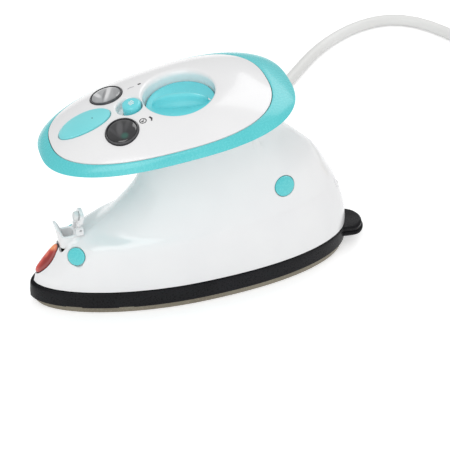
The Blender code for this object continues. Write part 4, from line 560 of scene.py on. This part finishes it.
def makeCord(look):
    ends = [Vector(point) * mm for point in look["route"]]
    route = evenPoints(ends[1:-1], look["routePoints"], ends[0], ends[-1])
    points = [ends[0]] + route + [ends[-1]]
    coil = coilPoints(look, points[-1], (ends[-1] - ends[-2]).normalized())
    heading = coil[-1] - coil[-2]
    heading.z = 0
    heading.normalize()
    tail = []
    for share in look["tailShares"]:
        spot = coil[-1] + heading * look["leadOut"] * share
        spot.z = coil[-1].z + (look["plugLevel"] - coil[-1].z) * smoothStep(share)
        tail.append(spot)
    end = tail[-1] + heading * look["diameter"]
    end.z = look["plugLevel"]
    points += coil + tail + [end]
    curve = bpy.data.curves.new("supplyCord", "CURVE")
    curve.dimensions = "3D"
    curve.bevel_depth = look["diameter"] / 2
    curve.bevel_resolution = look["bevelSteps"]
    curve.use_fill_caps = True
    spline = curve.splines.new("POLY")
    spline.points.add(len(points) - 1)
    for knot, point in zip(spline.points, points):
        knot.co = (*point, 1)
    spline.use_smooth = True
    curve.materials.append(made["flexWhite"])
    piece = addPiece("supplyCord", curve, bodyOf["cord"], "cord_white", "cord", "cord_coil")


makeCord(cord)


# Handle: tray, cover and what sits on it, drawn in the handle's own frame

handle = {
    "place": (-10.8 * mm, 0.0, 78.8 * mm),
    "tilt": math.radians(-7.5),
    "length": 100.2 * mm,
    "width": 61.2 * mm,
    "square": 2.56,
    "taper": 0.12,
    "depth": 9.2 * mm,
    "floorInset": 17.0 * mm,
    "passage": (12.0 * mm, 19.5 * mm, 11.0 * mm),      # centre, half length, half width
    "sides": 96,
    "floor": 7.3 * mm,
    "inside": [(0.53, 3.9), (0.75, 7.1), (1, 7.3)],    # share of the floor's inset, depth
    "gap": 0.6 * mm,
    "ledge": (1.4, 1.6 * mm),
    "hull": [(1, 1), (0.75, 0.96), (0.5, 0.62), (0.22, 0.27), (0.06, 0.1), (0, 0)],
    "lip": [(0.15, 0.9), (0.4, 1.9), (0.7, 2.75), (0.93, 3.3), (1, 3.35), (1, 1.4)],
}
cover = {
    "length": 86.4 * mm,
    "width": 55.2 * mm,
    "forward": 1.9 * mm,
    "square": 2.48,
    "rise": 3.6 * mm,
    "crown": 6.0 * mm,
    "domePower": 3.2,
    "skin": 1.6 * mm,
    "edgeShares": (1.0, 0.985, 0.96, 0.93, 0.895, 0.86, 0.82),
    "edgeCount": 220,
    "spacing": 1.4 * mm,               # of the open field, in staggered rows
    "rowShare": 0.866,
    "rows": 24,
    "columns": 40,
    "margin": 0.5 * mm,
    "edgeMargin": 0.02,
    "wellSpacing": 0.62 * mm,
    "lipSteps": (0.0, 0.0, 0.03, 0.12, 0.27, 0.48, 0.72, 1.0),
    "floorShares": (0.0, 0.35, 0.7, 0.94),
    "floorCount": 24,
    "boreCount": 48,
    "same": 0.0001 * mm,
    "slopeStep": 0.5 * mm,
    "draft": 0.12 * mm,
    "bore": (-11.9 * mm, 0.0, 3.75 * mm),              # the steam button's hole: x, y, radius
    # Wells: x, y, half length, half width, floor or depth, lip, extra lip on the far side
    "wells": [
        (6.7 * mm, 0.0, 13.8 * mm, 13.8 * mm, 1.3 * mm, 1.2 * mm, 1.3 * mm),
        (-12.9 * mm, 0.0, 4.9 * mm, 4.9 * mm, 6.2 * mm, 1.0 * mm, 0.6 * mm),
        (-19.1 * mm, 12.3 * mm, 6.45 * mm, 6.45 * mm, -2.6 * mm, 0.25 * mm, 0.0),
        (-19.1 * mm, -12.3 * mm, 6.45 * mm, 6.45 * mm, -2.6 * mm, 0.25 * mm, 0.0),
        (-30.9 * mm, 0.2 * mm, 10.65 * mm, 6.0 * mm, -0.9 * mm, 0.3 * mm, 0.0),
    ],
}
handlePlace = (Matrix.Translation(handle["place"])
               @ Matrix.Rotation(handle["tilt"], 4, "Y"))


def ovalRing(length, width, forward, height, square, count=None):
    ring, count = [], count or handle["sides"]
    for i in range(count):
        c, s = math.cos(math.tau * i / count), math.sin(math.tau * i / count)
        x = math.copysign(abs(c) ** (2 / square), c)
        y = math.copysign(abs(s) ** (2 / square), s) * width / 2 * (1 + handle["taper"] * x)
        ring.append(Vector((x * length / 2 - forward, y, height)))
    return ring


def coverShare(x, y):
    u = (x + cover["forward"]) / (cover["length"] / 2)
    v = y / (cover["width"] / 2 * (1 + handle["taper"] * u))
    return (abs(u) ** cover["square"] + abs(v) ** cover["square"]) ** (1 / cover["square"])


def coverDome(x, y):
    return cover["rise"] + cover["crown"] * (1 - min(coverShare(x, y), 1) ** cover["domePower"])


def coverFrame(x, y):
    step = cover["slopeStep"]
    across = Vector((2 * step, 0, coverDome(x + step, y) - coverDome(x - step, y)))
    along = Vector((0, 2 * step, coverDome(x, y + step) - coverDome(x, y - step)))
    up = across.cross(along).normalized()
    side = across.normalized()
    turn = Matrix((side, up.cross(side), up)).transposed().to_4x4()
    return Matrix.Translation((x, y, coverDome(x, y))) @ turn


def makeTray(look):
    def outer(inset, height):
        return ovalRing(look["length"] - 2 * inset, look["width"] - 2 * inset, 0, height,
                        look["square"])

    def lip(share, height, inset=0.0):
        play = look["gap"] - 2 * inset
        edge = ovalRing(cover["length"] + play, cover["width"] + play, cover["forward"], height,
                        cover["square"])
        return [a.lerp(b, share) for a, b in zip(outer(0, height), edge)]

    inset, depth = look["floorInset"], look["depth"]
    centre, long, wide = look["passage"]
    passage = [Vector((*spot, 0)) for spot in circle(handle["sides"], long, wide, centre)]
    rings = [[point - Vector((0, 0, depth)) for point in passage]]
    rings += [outer(inset * a, -depth * b) for a, b in look["hull"]]
    rings += [lip(share, height * mm) for share, height in look["lip"]]
    rings += [lip(1, look["ledge"][0] * mm, look["ledge"][1])]
    rings += [outer(inset * a, -b * mm) for a, b in look["inside"]]
    rings += [[point - Vector((0, 0, look["floor"])) for point in passage]]
    rings = [[handlePlace @ point for point in ring] for ring in rings]
    pieceFromForm("handleTray", loftForm(rings, ringed=True), "iron", "rimTeal", "handle_base")


def wellDrop(x, y, well):
    cx, cy, a, b, floor, lip, extra = well
    dx, dy = x - cx, y - cy
    away = math.hypot(dx, dy)
    if away < 1e-9:
        edge = min(a, b)
    else:
        edge = a * b / math.hypot(b * dx / away, a * dy / away)
    beyond = away - edge
    lip += extra * max(0, dy / away if away > 1e-9 else 0)
    dome = coverDome(x, y)
    if beyond < cover["draft"] / 2:
        return floor if floor > 0 else dome + floor
    share = min((beyond - cover["draft"]) / lip, 1)
    share = max(share, 0)
    return dome - lip * (1 - math.sqrt(1 - (1 - share) ** 2))


def makeCover(look):
    flat, lines = [], []

    def addRing(ring, bound):
        first = len(flat)
        flat.extend(ring)
        if bound:
            lines.extend((first + i, first + (i + 1) % len(ring)) for i in range(len(ring)))

    for share in look["edgeShares"]:
        ring = ovalRing(look["length"] * share, look["width"] * share, look["forward"], 0,
                        look["square"], look["edgeCount"])
        addRing([Vector((point.x, point.y)) for point in ring], True)
    for cx, cy, a, b, floor, lip, extra in look["wells"]:
        count = int(math.tau * max(a, b) / look["wellSpacing"])
        steps = look["lipSteps"]
        for k, step in enumerate(steps):
            ring = []
            for c, s in circle(count, 1.0):
                reach = (lip + extra * max(0, s)) * step + (look["draft"] if k else 0)
                ring.append(Vector((cx + (a + reach) * c, cy + (b + reach) * s)))
            addRing(ring, k < 2 or k == len(steps) - 1)
        for share in look["floorShares"]:
            spots = circle(look["floorCount"], a * share, b * share, cx, cy)
            addRing([Vector(spot) for spot in (spots if share else spots[:1])], False)
    boreX, boreY, boreRadius = look["bore"]
    bore = circle(look["boreCount"], boreRadius, None, boreX, boreY)
    addRing([Vector(spot) for spot in bore], True)
    pitch, rows, columns = look["spacing"], look["rows"], look["columns"]
    for row in range(-rows, rows + 1):
        for column in range(-columns, columns + 1):
            x, y = (column + 0.5 * (row % 2)) * pitch, row * pitch * look["rowShare"]
            clear = all(math.hypot((x - cx) / (a + lip + extra + look["margin"]),
                                   (y - cy) / (b + lip + extra + look["margin"])) > 1
                        for cx, cy, a, b, floor, lip, extra in look["wells"])
            if clear and coverShare(x, y) < look["edgeShares"][-1] - look["edgeMargin"]:
                flat.append(Vector((x, y)))
    spots, _, triangles, *_ = delaunay_2d_cdt(flat, lines, [], 0, look["same"])
    form = bmesh.new()
    top, low = [], []
    for spot in spots:
        heights = [wellDrop(spot.x, spot.y, well) for well in look["wells"]]
        height = min(heights + [coverDome(spot.x, spot.y)])
        top.append(form.verts.new(handlePlace @ Vector((spot.x, spot.y, height))))
        low.append(form.verts.new(handlePlace @ Vector((spot.x, spot.y, height - look["skin"]))))
    sides = {}
    for a, b, c in triangles:
        middle = (spots[a] + spots[b] + spots[c]) / 3
        if math.hypot(middle.x - boreX, middle.y - boreY) < boreRadius:
            continue
        form.faces.new((top[a], top[b], top[c]))
        form.faces.new((low[c], low[b], low[a]))
        for pair in ((a, b), (b, c), (c, a)):
            sides[frozenset(pair)] = None if frozenset(pair) in sides else pair
    for a, b in filter(None, sides.values()):
        form.faces.new((top[b], top[a], low[a], low[b]))
    bmesh.ops.delete(form, geom=[vertex for vertex in form.verts if not vertex.link_faces],
                     context="VERTS")
    pieceFromForm("handleCover", form, "iron", "shellWhite", "handle_cover")


makeTray(handle)
makeCover(cover)

thumb = {
    "centre": (-30.9 * mm, 0.2 * mm),
    "half": (10.5 * mm, 5.85 * mm),
    "sides": 96,
    # Share of the outline, height above the dome in mm
    "profile": [(1.0, -0.7), (1.0, 0.05), (0.992, 0.375), (0.975, 0.55), (0.8, 0.73),
                (0.55, 0.85), (0.3, 0.91), (0.1, 0.93)],
}


def makeThumbRest(look):
    rings = []
    for share, height in look["profile"]:
        long, wide = (half * share for half in look["half"])
        rings.append([handlePlace @ Vector((x, y, coverDome(x, y) + height * mm))
                      for x, y in circle(look["sides"], long, wide, *look["centre"])])
    pieceFromForm("thumbRest", loftForm(rings), "iron", "restTeal", "thumb_rest")


makeThumbRest(thumb)

windows = {
    "x": -19.1 * mm,
    "spread": 12.3 * mm,
    "rim": [(6.35, -2.4), (6.35, 0.12), (6.26, 0.3), (6.1, 0.36), (5.94, 0.28), (5.88, 0.08),
            (5.88, -2.4)],
    "lens": [(5.82, -2.4), (5.82, -0.05), (5.7, 0.16), (5.1, 0.42), (4.0, 0.68), (2.4, 0.88),
             (0.8, 0.96)],
}


def makeWindow(look, side, lensFinish, hand):
    place = handlePlace @ coverFrame(look["x"], look["spread"] * side)
    pieceFromForm("windowRim" + hand, turnedForm(inMm(look["rim"]), place, ringed=True), "iron",
                  "bezelDark", "window_rim_" + hand.lower())
    pieceFromForm("windowLens" + hand, turnedForm(inMm(look["lens"]), place), "iron", lensFinish,
                  "window_lens_" + hand.lower())


makeWindow(windows, -1, "smokedWindow", "Left")
# The far window's lens is painted lighter grey as a painted reflection of the bright background.
makeWindow(windows, 1, "paintedReflectionWindow", "Right")
# Painted light and shade spots: centre, half sizes, softness, turn in degrees, colour, strength
# Near window: painted reflections of the reflector cup behind the lens as grey streaks, and a
# painted green glow of the indicator LED as the last spot.
paintLightSpots("smokedWindow", handlePlace @ coverFrame(windows["x"], -windows["spread"]), [
    ((-0.5, 0.6), (1.2, 3.8), 0.5, -14, (0.10, 0.10, 0.105), 0.7),
    ((2.6, 1.4), (0.8, 3.2), 0.6, -30, (0.06, 0.06, 0.065), 0.6),
    ((-3.2, 0.6), (0.6, 3.0), 0.6, 20, (0.05, 0.05, 0.055), 0.6),
    ((0.2, -3.4), (1.3, 1.2), 0.6, 0, (0.02, 0.12, 0.09), 0.8),
])
# Far window: painted reflections, a paler middle with white and darker streaks.
paintLightSpots("paintedReflectionWindow", handlePlace @ coverFrame(windows["x"], windows["spread"]), [
    ((0.0, 0.0), (4.4, 4.4), 0.4, 0, (0.40, 0.41, 0.42), 0.8),
    ((1.0, 0.2), (1.1, 5.2), 0.5, -22, (0.80, 0.80, 0.81), 0.9),
    ((-0.5, -0.6), (0.6, 3.6), 0.5, -22, (0.16, 0.16, 0.17), 0.75),
    ((-3.2, 1.2), (0.8, 3.0), 0.5, 15, (0.85, 0.85, 0.87), 0.7),
    ((3.6, -1.4), (0.7, 2.6), 0.5, -10, (0.28, 0.28, 0.29), 0.6),
])

button = {
    "x": -11.9 * mm,
    "profile": [(3.6, 6.1), (3.6, 9.9), (3.5, 10.3), (3.2, 10.6), (2.7, 10.72), (1.6, 10.66),
                (0.5, 10.62)],
}
buttonPlace = handlePlace @ Matrix.Translation((button["x"], 0, 0))
pieceFromForm("steamButton", turnedForm(inMm(button["profile"]), buttonPlace),
              bodyOf["steam_button"], "dialTeal", "steam_button")

dial = {
    "x": 6.7 * mm,
    "profile": [(13.0, 1.6), (13.5, 2.1), (13.5, 3.75), (13.35, 4.1), (13.0, 4.25), (12.4, 4.2),
                (11.6, 3.95), (9.0, 3.7), (5.0, 3.55), (1.0, 3.5)],
    "gripTurn": math.radians(-21),
    "gripLength": 22.0 * mm,
    "gripRise": 4.9 * mm,
    "gripRoot": 6.4 * mm,
    "gripCrest": 2.0 * mm,
    "gripFoot": 2.4 * mm,
    "gripDeck": 3.4 * mm,
    "gripStations": 33,
    "gripReach": 0.998,
    "gripSwell": 0.8,
    "gripEnds": (0.16, 0.3),           # share of its root and crest that the grip's ends keep
    "sides": 96,
}


def makeDial(look):
    place = handlePlace @ Matrix.Translation((look["x"], 0, 0))
    form = turnedForm(inMm(look["profile"]), place, look["sides"])
    gripPlace = place @ Matrix.Rotation(look["gripTurn"], 4, "Z")
    rings, stations, low = [], look["gripStations"], look["gripFoot"]
    rootEnd, tipEnd = look["gripEnds"]
    for k in range(stations):
        share = math.sin((-1 + 2 * k / (stations - 1)) * math.pi / 2) * look["gripReach"]
        swell = math.sqrt(1 - share ** 2)
        crest = look["gripDeck"] + look["gripRise"] * swell ** look["gripSwell"]
        root = look["gripRoot"] / 2 * (rootEnd + (1 - rootEnd) * swell)
        tip = look["gripCrest"] / 2 * (tipEnd + (1 - tipEnd) * swell)
        ring = []
        for y, z in ((root, 0.0), (root * 0.97, 0.24), (root * 0.74, 0.42), (root * 0.46, 0.62),
                     (tip * 1.25, 0.84), (tip, 0.95), (tip * 0.5, 1.0)):
            ring.append((y, low + (crest - low) * z))
        section = ring + [(-y, z) for y, z in reversed(ring)]
        rings.append([gripPlace @ Vector((look["gripLength"] / 2 * share, y, z))
                      for y, z in section])
    loftForm(rings, form=form)
    pieceFromForm("heatDial", form, bodyOf["temperature_dial"], "dialTeal",
                  "temperature_dial")


makeDial(dial)


def makePumpSpring():
    mesh = nodes["pump_spring"].data.copy()
    mesh.name = "pumpSpring"
    piece = addPiece("pumpSpring", mesh, bodyOf["pump_spring"], "steel", "pump_spring")
    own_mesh(piece)


makePumpSpring()
print("handle ready")


# Nose lens: a bulging oval in a thin rim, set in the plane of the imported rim

lens = {
    "half": (7.8, 3.0),
    "rimLevel": -0.5,
    "rim": [(0.0, -1.6), (0.0, 0.02), (0.07, 0.14), (0.18, 0.16), (0.26, 0.08), (0.28, -1.6)],
    "dome": [(0.32, -1.6, 0.0), (0.32, 0.05, 0.0), (0.40, 0.2, 0.16), (0.6, 0.2, 0.38),
             (0.95, 0.1, 0.6), (1.4, 0.0, 0.79), (1.9, 0.0, 0.91), (2.4, 0.0, 0.98),
             (2.8, 0.0, 1.0)],
    "crown": 1.35,
    "sides": 72,
    "ease": 3,                         # neighbours on each side that a level is averaged with
    "over": (0.5, 8),                  # how far outside and above the rim the housing is felt for
    "ceiling": 0.1,
}


def lensPlace(look):
    spots = [vertex.co for vertex in nodes["nose_lens_rim"].data.vertices]
    upper = max(spots, key=lambda spot: spot.z)
    middle = sum(spots, Vector()) / len(spots)
    front = min(spots, key=lambda spot: spot.x)
    run = (Vector((upper.x, 0, upper.z)) - Vector((front.x, 0, front.z))).normalized()
    up = Vector((-run.z, 0, run.x))
    top = max(spot.dot(up) for spot in spots)
    middle += up * (top + look["rimLevel"] * mm - middle.dot(up))
    middle.y = 0
    turn = Matrix((run, up.cross(run), up)).transposed().to_4x4()
    return Matrix.Translation(middle) @ turn


def housingTrees():
    trees = []
    for nodeName in ("body_left_shell", "body_right_shell"):
        mesh = nodes[nodeName].data
        mesh.calc_loop_triangles()
        triangles = [tuple(triangle.vertices) for triangle in mesh.loop_triangles]
        trees.append(BVHTree.FromPolygons([vertex.co for vertex in mesh.vertices], triangles))
    return trees


housings = housingTrees()


def firstHit(start, heading):
    hits = [tree.ray_cast(start, heading) for tree in housings]
    hits = [hit for hit in hits if hit[0]]
    return min(hits, key=lambda hit: hit[3])[0] if hits else None


def eased(levels, near):
    count = len(levels)
    return [sum(levels[(i + k) % count] for k in range(-near, near + 1)) / (2 * near + 1)
            for i in range(count)]


def makeNoseLens(look, place):
    a, b = look["half"]
    down = -(place.to_3x3() @ Vector((0, 0, 1)))
    wider, above = look["over"]
    levels = []
    for x, y in circle(look["sides"], a + wider, b + wider):
        spot = firstHit(place @ (Vector((x, y, above)) * mm), down)
        levels.append(min((place.inverted() @ spot).z / mm, look["ceiling"]) if spot else 0.0)
    levels = eased(levels, look["ease"])

    def ring(inset, rise, share):
        outline = circle(look["sides"], a - inset, b - inset)
        return [place @ (Vector((x, y, level * (1 - share) + look["crown"] * share + rise)) * mm)
                for (x, y), level in zip(outline, levels)]

    rim = [ring(inset, rise, 0) for inset, rise in look["rim"]]
    pieceFromForm("noseLensRim", loftForm(rim, ringed=True), "iron", "bezelDark", "nose_lens_rim")
    dome = [ring(inset, rise, share) for inset, rise, share in look["dome"]]
    pieceFromForm("noseLens", loftForm(dome), "iron", "redLamp", "nose_lens")


noseFrame = lensPlace(lens)
makeNoseLens(lens, noseFrame)
# Red lens: painted shade as a dark band along its lower edge, a painted highlight as a pale band
# along its upper edge, and two smaller painted highlights.
paintLightSpots("redLamp", noseFrame, [
    ((-0.8, -2.2), (7.5, 1.3), 0.6, 0, (0.18, 0.006, 0.006), 0.75),
    ((0.4, 1.35), (5.6, 0.75), 0.6, 0, (0.90, 0.40, 0.34), 0.85),
    ((5.9, 0.2), (1.6, 1.5), 0.5, 0, (0.95, 0.38, 0.16), 0.85),
    ((2.2, -0.3), (1.5, 0.7), 0.6, 10, (0.92, 0.20, 0.12), 0.6),
])


# Filler collar: a soft foot where the spout leaves the housing

collar = {
    "centre": (-53.0 * mm, 0.0),
    "half": (3.7 * mm, 3.7 * mm),
    "steps": [(-0.3, -1.0), (-0.3, 1.25), (0.02, 1.1), (0.22, 0.62), (0.6, 0.28), (1.15, 0.1),
              (1.5, -0.06), (1.4, -1.0)],      # outwards, upwards
    "frontShare": 0.35,            # how much of its reach the collar keeps ahead of the spout
    "frontFade": 1.3,
    "square": 0.6,
    "sides": 64,
    "ease": 2,
    "feel": 0.9,                   # nearest place, outwards, where the housing is felt for
    "from": 50 * mm,
    "fallback": 25 * mm,
}


def makeCollar(look):
    def spotAt(angle, out):
        c, s = math.cos(angle), math.sin(angle)
        along = math.copysign(abs(c) ** look["square"], c)
        across = math.copysign(abs(s) ** look["square"], s)
        if out > 0:
            out *= 1 - (1 - look["frontShare"]) * smoothStep(-along * look["frontFade"])
        return (look["centre"][0] + (look["half"][0] + out * mm) * along,
                look["centre"][1] + (look["half"][1] + out * mm) * across)

    def levelAt(angle, out):
        hit = firstHit(Vector((*spotAt(angle, out), look["from"])), Vector((0, 0, -1)))
        return hit.z if hit else look["fallback"]

    angles = [math.tau * i / look["sides"] for i in range(look["sides"])]
    rings = []
    for out, rise in look["steps"]:
        levels = eased([levelAt(angle, max(out, look["feel"])) for angle in angles], look["ease"])
        rings.append([Vector((*spotAt(angle, out), level + rise * mm))
                      for angle, level in zip(angles, levels)])
    pieceFromForm("fillerCollar", loftForm(rings, ringed=True), "iron", "shellWhite")


makeCollar(collar)
print("nose ready")


# Printed marks: thin strokes of ink that follow what they lie on

marks = {
    "ink": 0.05 * mm,
    "sink": 0.15 * mm,
    "restFrom": -20,                   # marks ahead of this lie on the thumb rest
    "restRise": 0.9 * mm,
    "strokes": [
        # finish, width, closed, points in the handle's frame
        ("inkDark", 0.32, True, circle(20, 1.25, None, -10.4, -11.0)),
        ("inkDark", 0.28, False, [(-11.0, -11.6), (-9.8, -10.4)]),
        ("inkDark", 0.28, False, [(-11.1, -10.8), (-10.2, -11.7)]),
        ("inkDark", 0.7, False, [(-7.6, -9.9), (-7.0, -11.1)]),
        ("inkDark", 0.5, False, [(-6.9, -11.0), (-7.4, -12.3)]),
        ("inkGrey", 0.4, False, [(-10.6, 11.1), (-9.3, 11.7), (-7.9, 11.5)]),
        ("inkDark", 0.8, False, [(-6.2, 12.1), (-5.0, 12.3)]),
        ("inkDark", 0.4, False, [(-27.8, -0.3), (-27.4, -0.3)]),
    ],
}


def inkPiece(name, finish, path, width, closed, levelAt):
    width *= mm
    path = [Vector(point) * mm for point in path]
    count = len(path)
    form = bmesh.new()
    rows = []
    for i, point in enumerate(path):
        before = path[i - 1] if closed or i else path[0]
        after = path[(i + 1) % count] if closed or i < count - 1 else path[-1]
        run = (after - before).normalized()
        side = Vector((-run.y, run.x)) * width / 2
        row = []
        for across, rise in ((side, marks["ink"]), (-side, marks["ink"]), (-side, -marks["sink"]),
                             (side, -marks["sink"])):
            x, y = point + across
            row.append(form.verts.new(handlePlace @ Vector((x, y, levelAt(x, y) + rise))))
        rows.append(row)
    joinRows(form, rows, closed)
    if not closed:
        form.faces.new(rows[0])
        form.faces.new(rows[-1])
    pieceFromForm(name, form, "iron", finish)


def makeMarks(look):
    for k, (finish, width, closed, path) in enumerate(look["strokes"]):
        rise = look["restRise"] if path[0][0] < look["restFrom"] else 0.0
        inkPiece("mark%02d" % (k + 1), finish, path, width, closed,
                 lambda x, y: coverDome(x, y) + rise)


makeMarks(marks)

buttonMark = {
    "level": 10.72,
    "waves": [(-0.88, 0.88), (0.0, 1.2), (0.88, 0.88)],     # across, half length
    "swing": 0.28,
    "section": [(0.17, 0.05), (-0.17, 0.05), (-0.17, -0.2), (0.17, -0.2)],
    "steps": 6,                        # on each side of a wave's middle
}


def makeButtonMark(look):
    form = bmesh.new()
    for across, half in look["waves"]:
        rows = []
        for i in range(2 * look["steps"] + 1):
            t = i / look["steps"] - 1
            x = button["x"] / mm + t * half
            y = across + look["swing"] * math.sin(t * math.pi)
            section = [Vector((x, y + dy, look["level"] + dz)) * mm for dy, dz in look["section"]]
            rows.append([form.verts.new(handlePlace @ point) for point in section])
        joinRows(form, rows)
        form.faces.new(rows[0])
        form.faces.new(rows[-1])
    pieceFromForm("buttonMark", form, bodyOf["steam_button"], "inkWhite")


makeButtonMark(buttonMark)


pointer = {"corners": [(11.9, 0.0), (10.7, 1.5), (10.7, 0.4)], "levels": (4.22, 3.6)}


def makePointer(look):
    place = handlePlace @ Matrix.Translation((dial["x"], 0, 0))
    place = place @ Matrix.Rotation(dial["gripTurn"], 4, "Z")
    form = bmesh.new()
    top, low = ([form.verts.new(place @ (Vector((x, y, level)) * mm)) for x, y in look["corners"]]
                for level in look["levels"])
    form.faces.new(top)
    form.faces.new(low)
    for k in range(3):
        form.faces.new((top[k], top[(k + 1) % 3], low[(k + 1) % 3], low[k]))
    pieceFromForm("dialPointer", form, bodyOf["temperature_dial"], "inkWhite")


makePointer(pointer)
print("marks ready")


# Rims round the steam holes, by Geometry Nodes

steamHole = {
    "ringRadius": 1.22 * mm,
    "wireRadius": 0.2 * mm,
    "flatten": 0.6,
    "ringSides": 24,
    "wireSides": 8,
    "level": 0.14 * mm,
    "flat": 0.02 * mm,             # corners of the sole this near the floor may be a hole's
    "near": 0.95 * mm,             # corners closer than this belong together
    "width": (1.5 * mm, 3.2 * mm),
}


def ringTree(look, finish):
    tree = bpy.data.node_groups.new("ringRow", "GeometryNodeTree")
    face = tree.interface
    face.new_socket("Geometry", in_out="INPUT", socket_type="NodeSocketGeometry")
    sizes = {}
    for label in ("ringRadius", "wireRadius", "flatten"):
        socket = face.new_socket(label, in_out="INPUT", socket_type="NodeSocketFloat")
        sizes[socket.identifier] = look[label]
    face.new_socket("Geometry", in_out="OUTPUT", socket_type="NodeSocketGeometry")
    entry = addNode(tree, "NodeGroupInput")
    circleKind = "GeometryNodeCurvePrimitiveCircle"
    ring = addNode(tree, circleKind, {
        "Resolution": look["ringSides"], "Radius": entry.outputs["ringRadius"]})
    wire = addNode(tree, circleKind, {
        "Resolution": look["wireSides"], "Radius": entry.outputs["wireRadius"]})
    sweep = addNode(tree, "GeometryNodeCurveToMesh", {
        "Curve": ring.outputs["Curve"], "Profile Curve": wire.outputs["Curve"]})
    squash = addNode(tree, "ShaderNodeCombineXYZ", {
        "X": 1, "Y": 1, "Z": entry.outputs["flatten"]})
    spread = addNode(tree, "GeometryNodeInstanceOnPoints", {
        "Points": entry.outputs["Geometry"], "Instance": sweep.outputs["Mesh"],
        "Scale": squash.outputs["Vector"]})
    real = addNode(tree, "GeometryNodeRealizeInstances", {
        "Geometry": spread.outputs["Instances"]})
    smooth = addNode(tree, "GeometryNodeSetShadeSmooth", {"Geometry": real.outputs["Geometry"]})
    paint = addNode(tree, "GeometryNodeSetMaterial", {
        "Geometry": smooth.outputs["Geometry"], "Material": made[finish]})
    addNode(tree, "NodeGroupOutput", {"Geometry": paint.outputs["Geometry"]})
    return tree, sizes


def bakeRow(name, spots, tree, sizes, body):
    mesh = bpy.data.meshes.new(name + "Spots")
    mesh.from_pydata(spots, [], [])
    holder = addObject(name + "Spots", mesh)
    row = holder.modifiers.new("row", "NODES")
    row.node_group = tree
    for identifier, value in sizes.items():
        row[identifier] = value
    bpy.context.view_layer.update()
    depsgraph = bpy.context.evaluated_depsgraph_get()
    result = bpy.data.meshes.new_from_object(holder.evaluated_get(depsgraph))
    holder.modifiers.remove(row)
    bpy.data.objects.remove(holder)
    result.name = name
    addPiece(name, result, body, "steel")


def steamHoles(look):
    spots = [vertex.co.copy() for vertex in nodes["soleplate"].data.vertices
             if abs(vertex.co.z) < look["flat"]]
    groups = []
    for spot in spots:
        near = [group for group in groups
                if any((spot - other).length < look["near"] for other in group)]
        merged = [spot]
        for group in near:
            merged += group
            groups.remove(group)
        groups.append(merged)
    centres = []
    narrow, broad = look["width"]
    for group in groups:
        low = Vector((min(spot.x for spot in group), min(spot.y for spot in group)))
        high = Vector((max(spot.x for spot in group), max(spot.y for spot in group)))
        size = high - low
        if narrow < size.x < broad and narrow < size.y < broad:
            centres.append(((low.x + high.x) / 2, (low.y + high.y) / 2, look["level"]))
    return centres


holeTree, holeSizes = ringTree(steamHole, "plainSteel")
holeCentres = steamHoles(steamHole)
bakeRow("steamHoleRims", holeCentres, holeTree, holeSizes, "iron")
print("steam holes:", len(holeCentres))
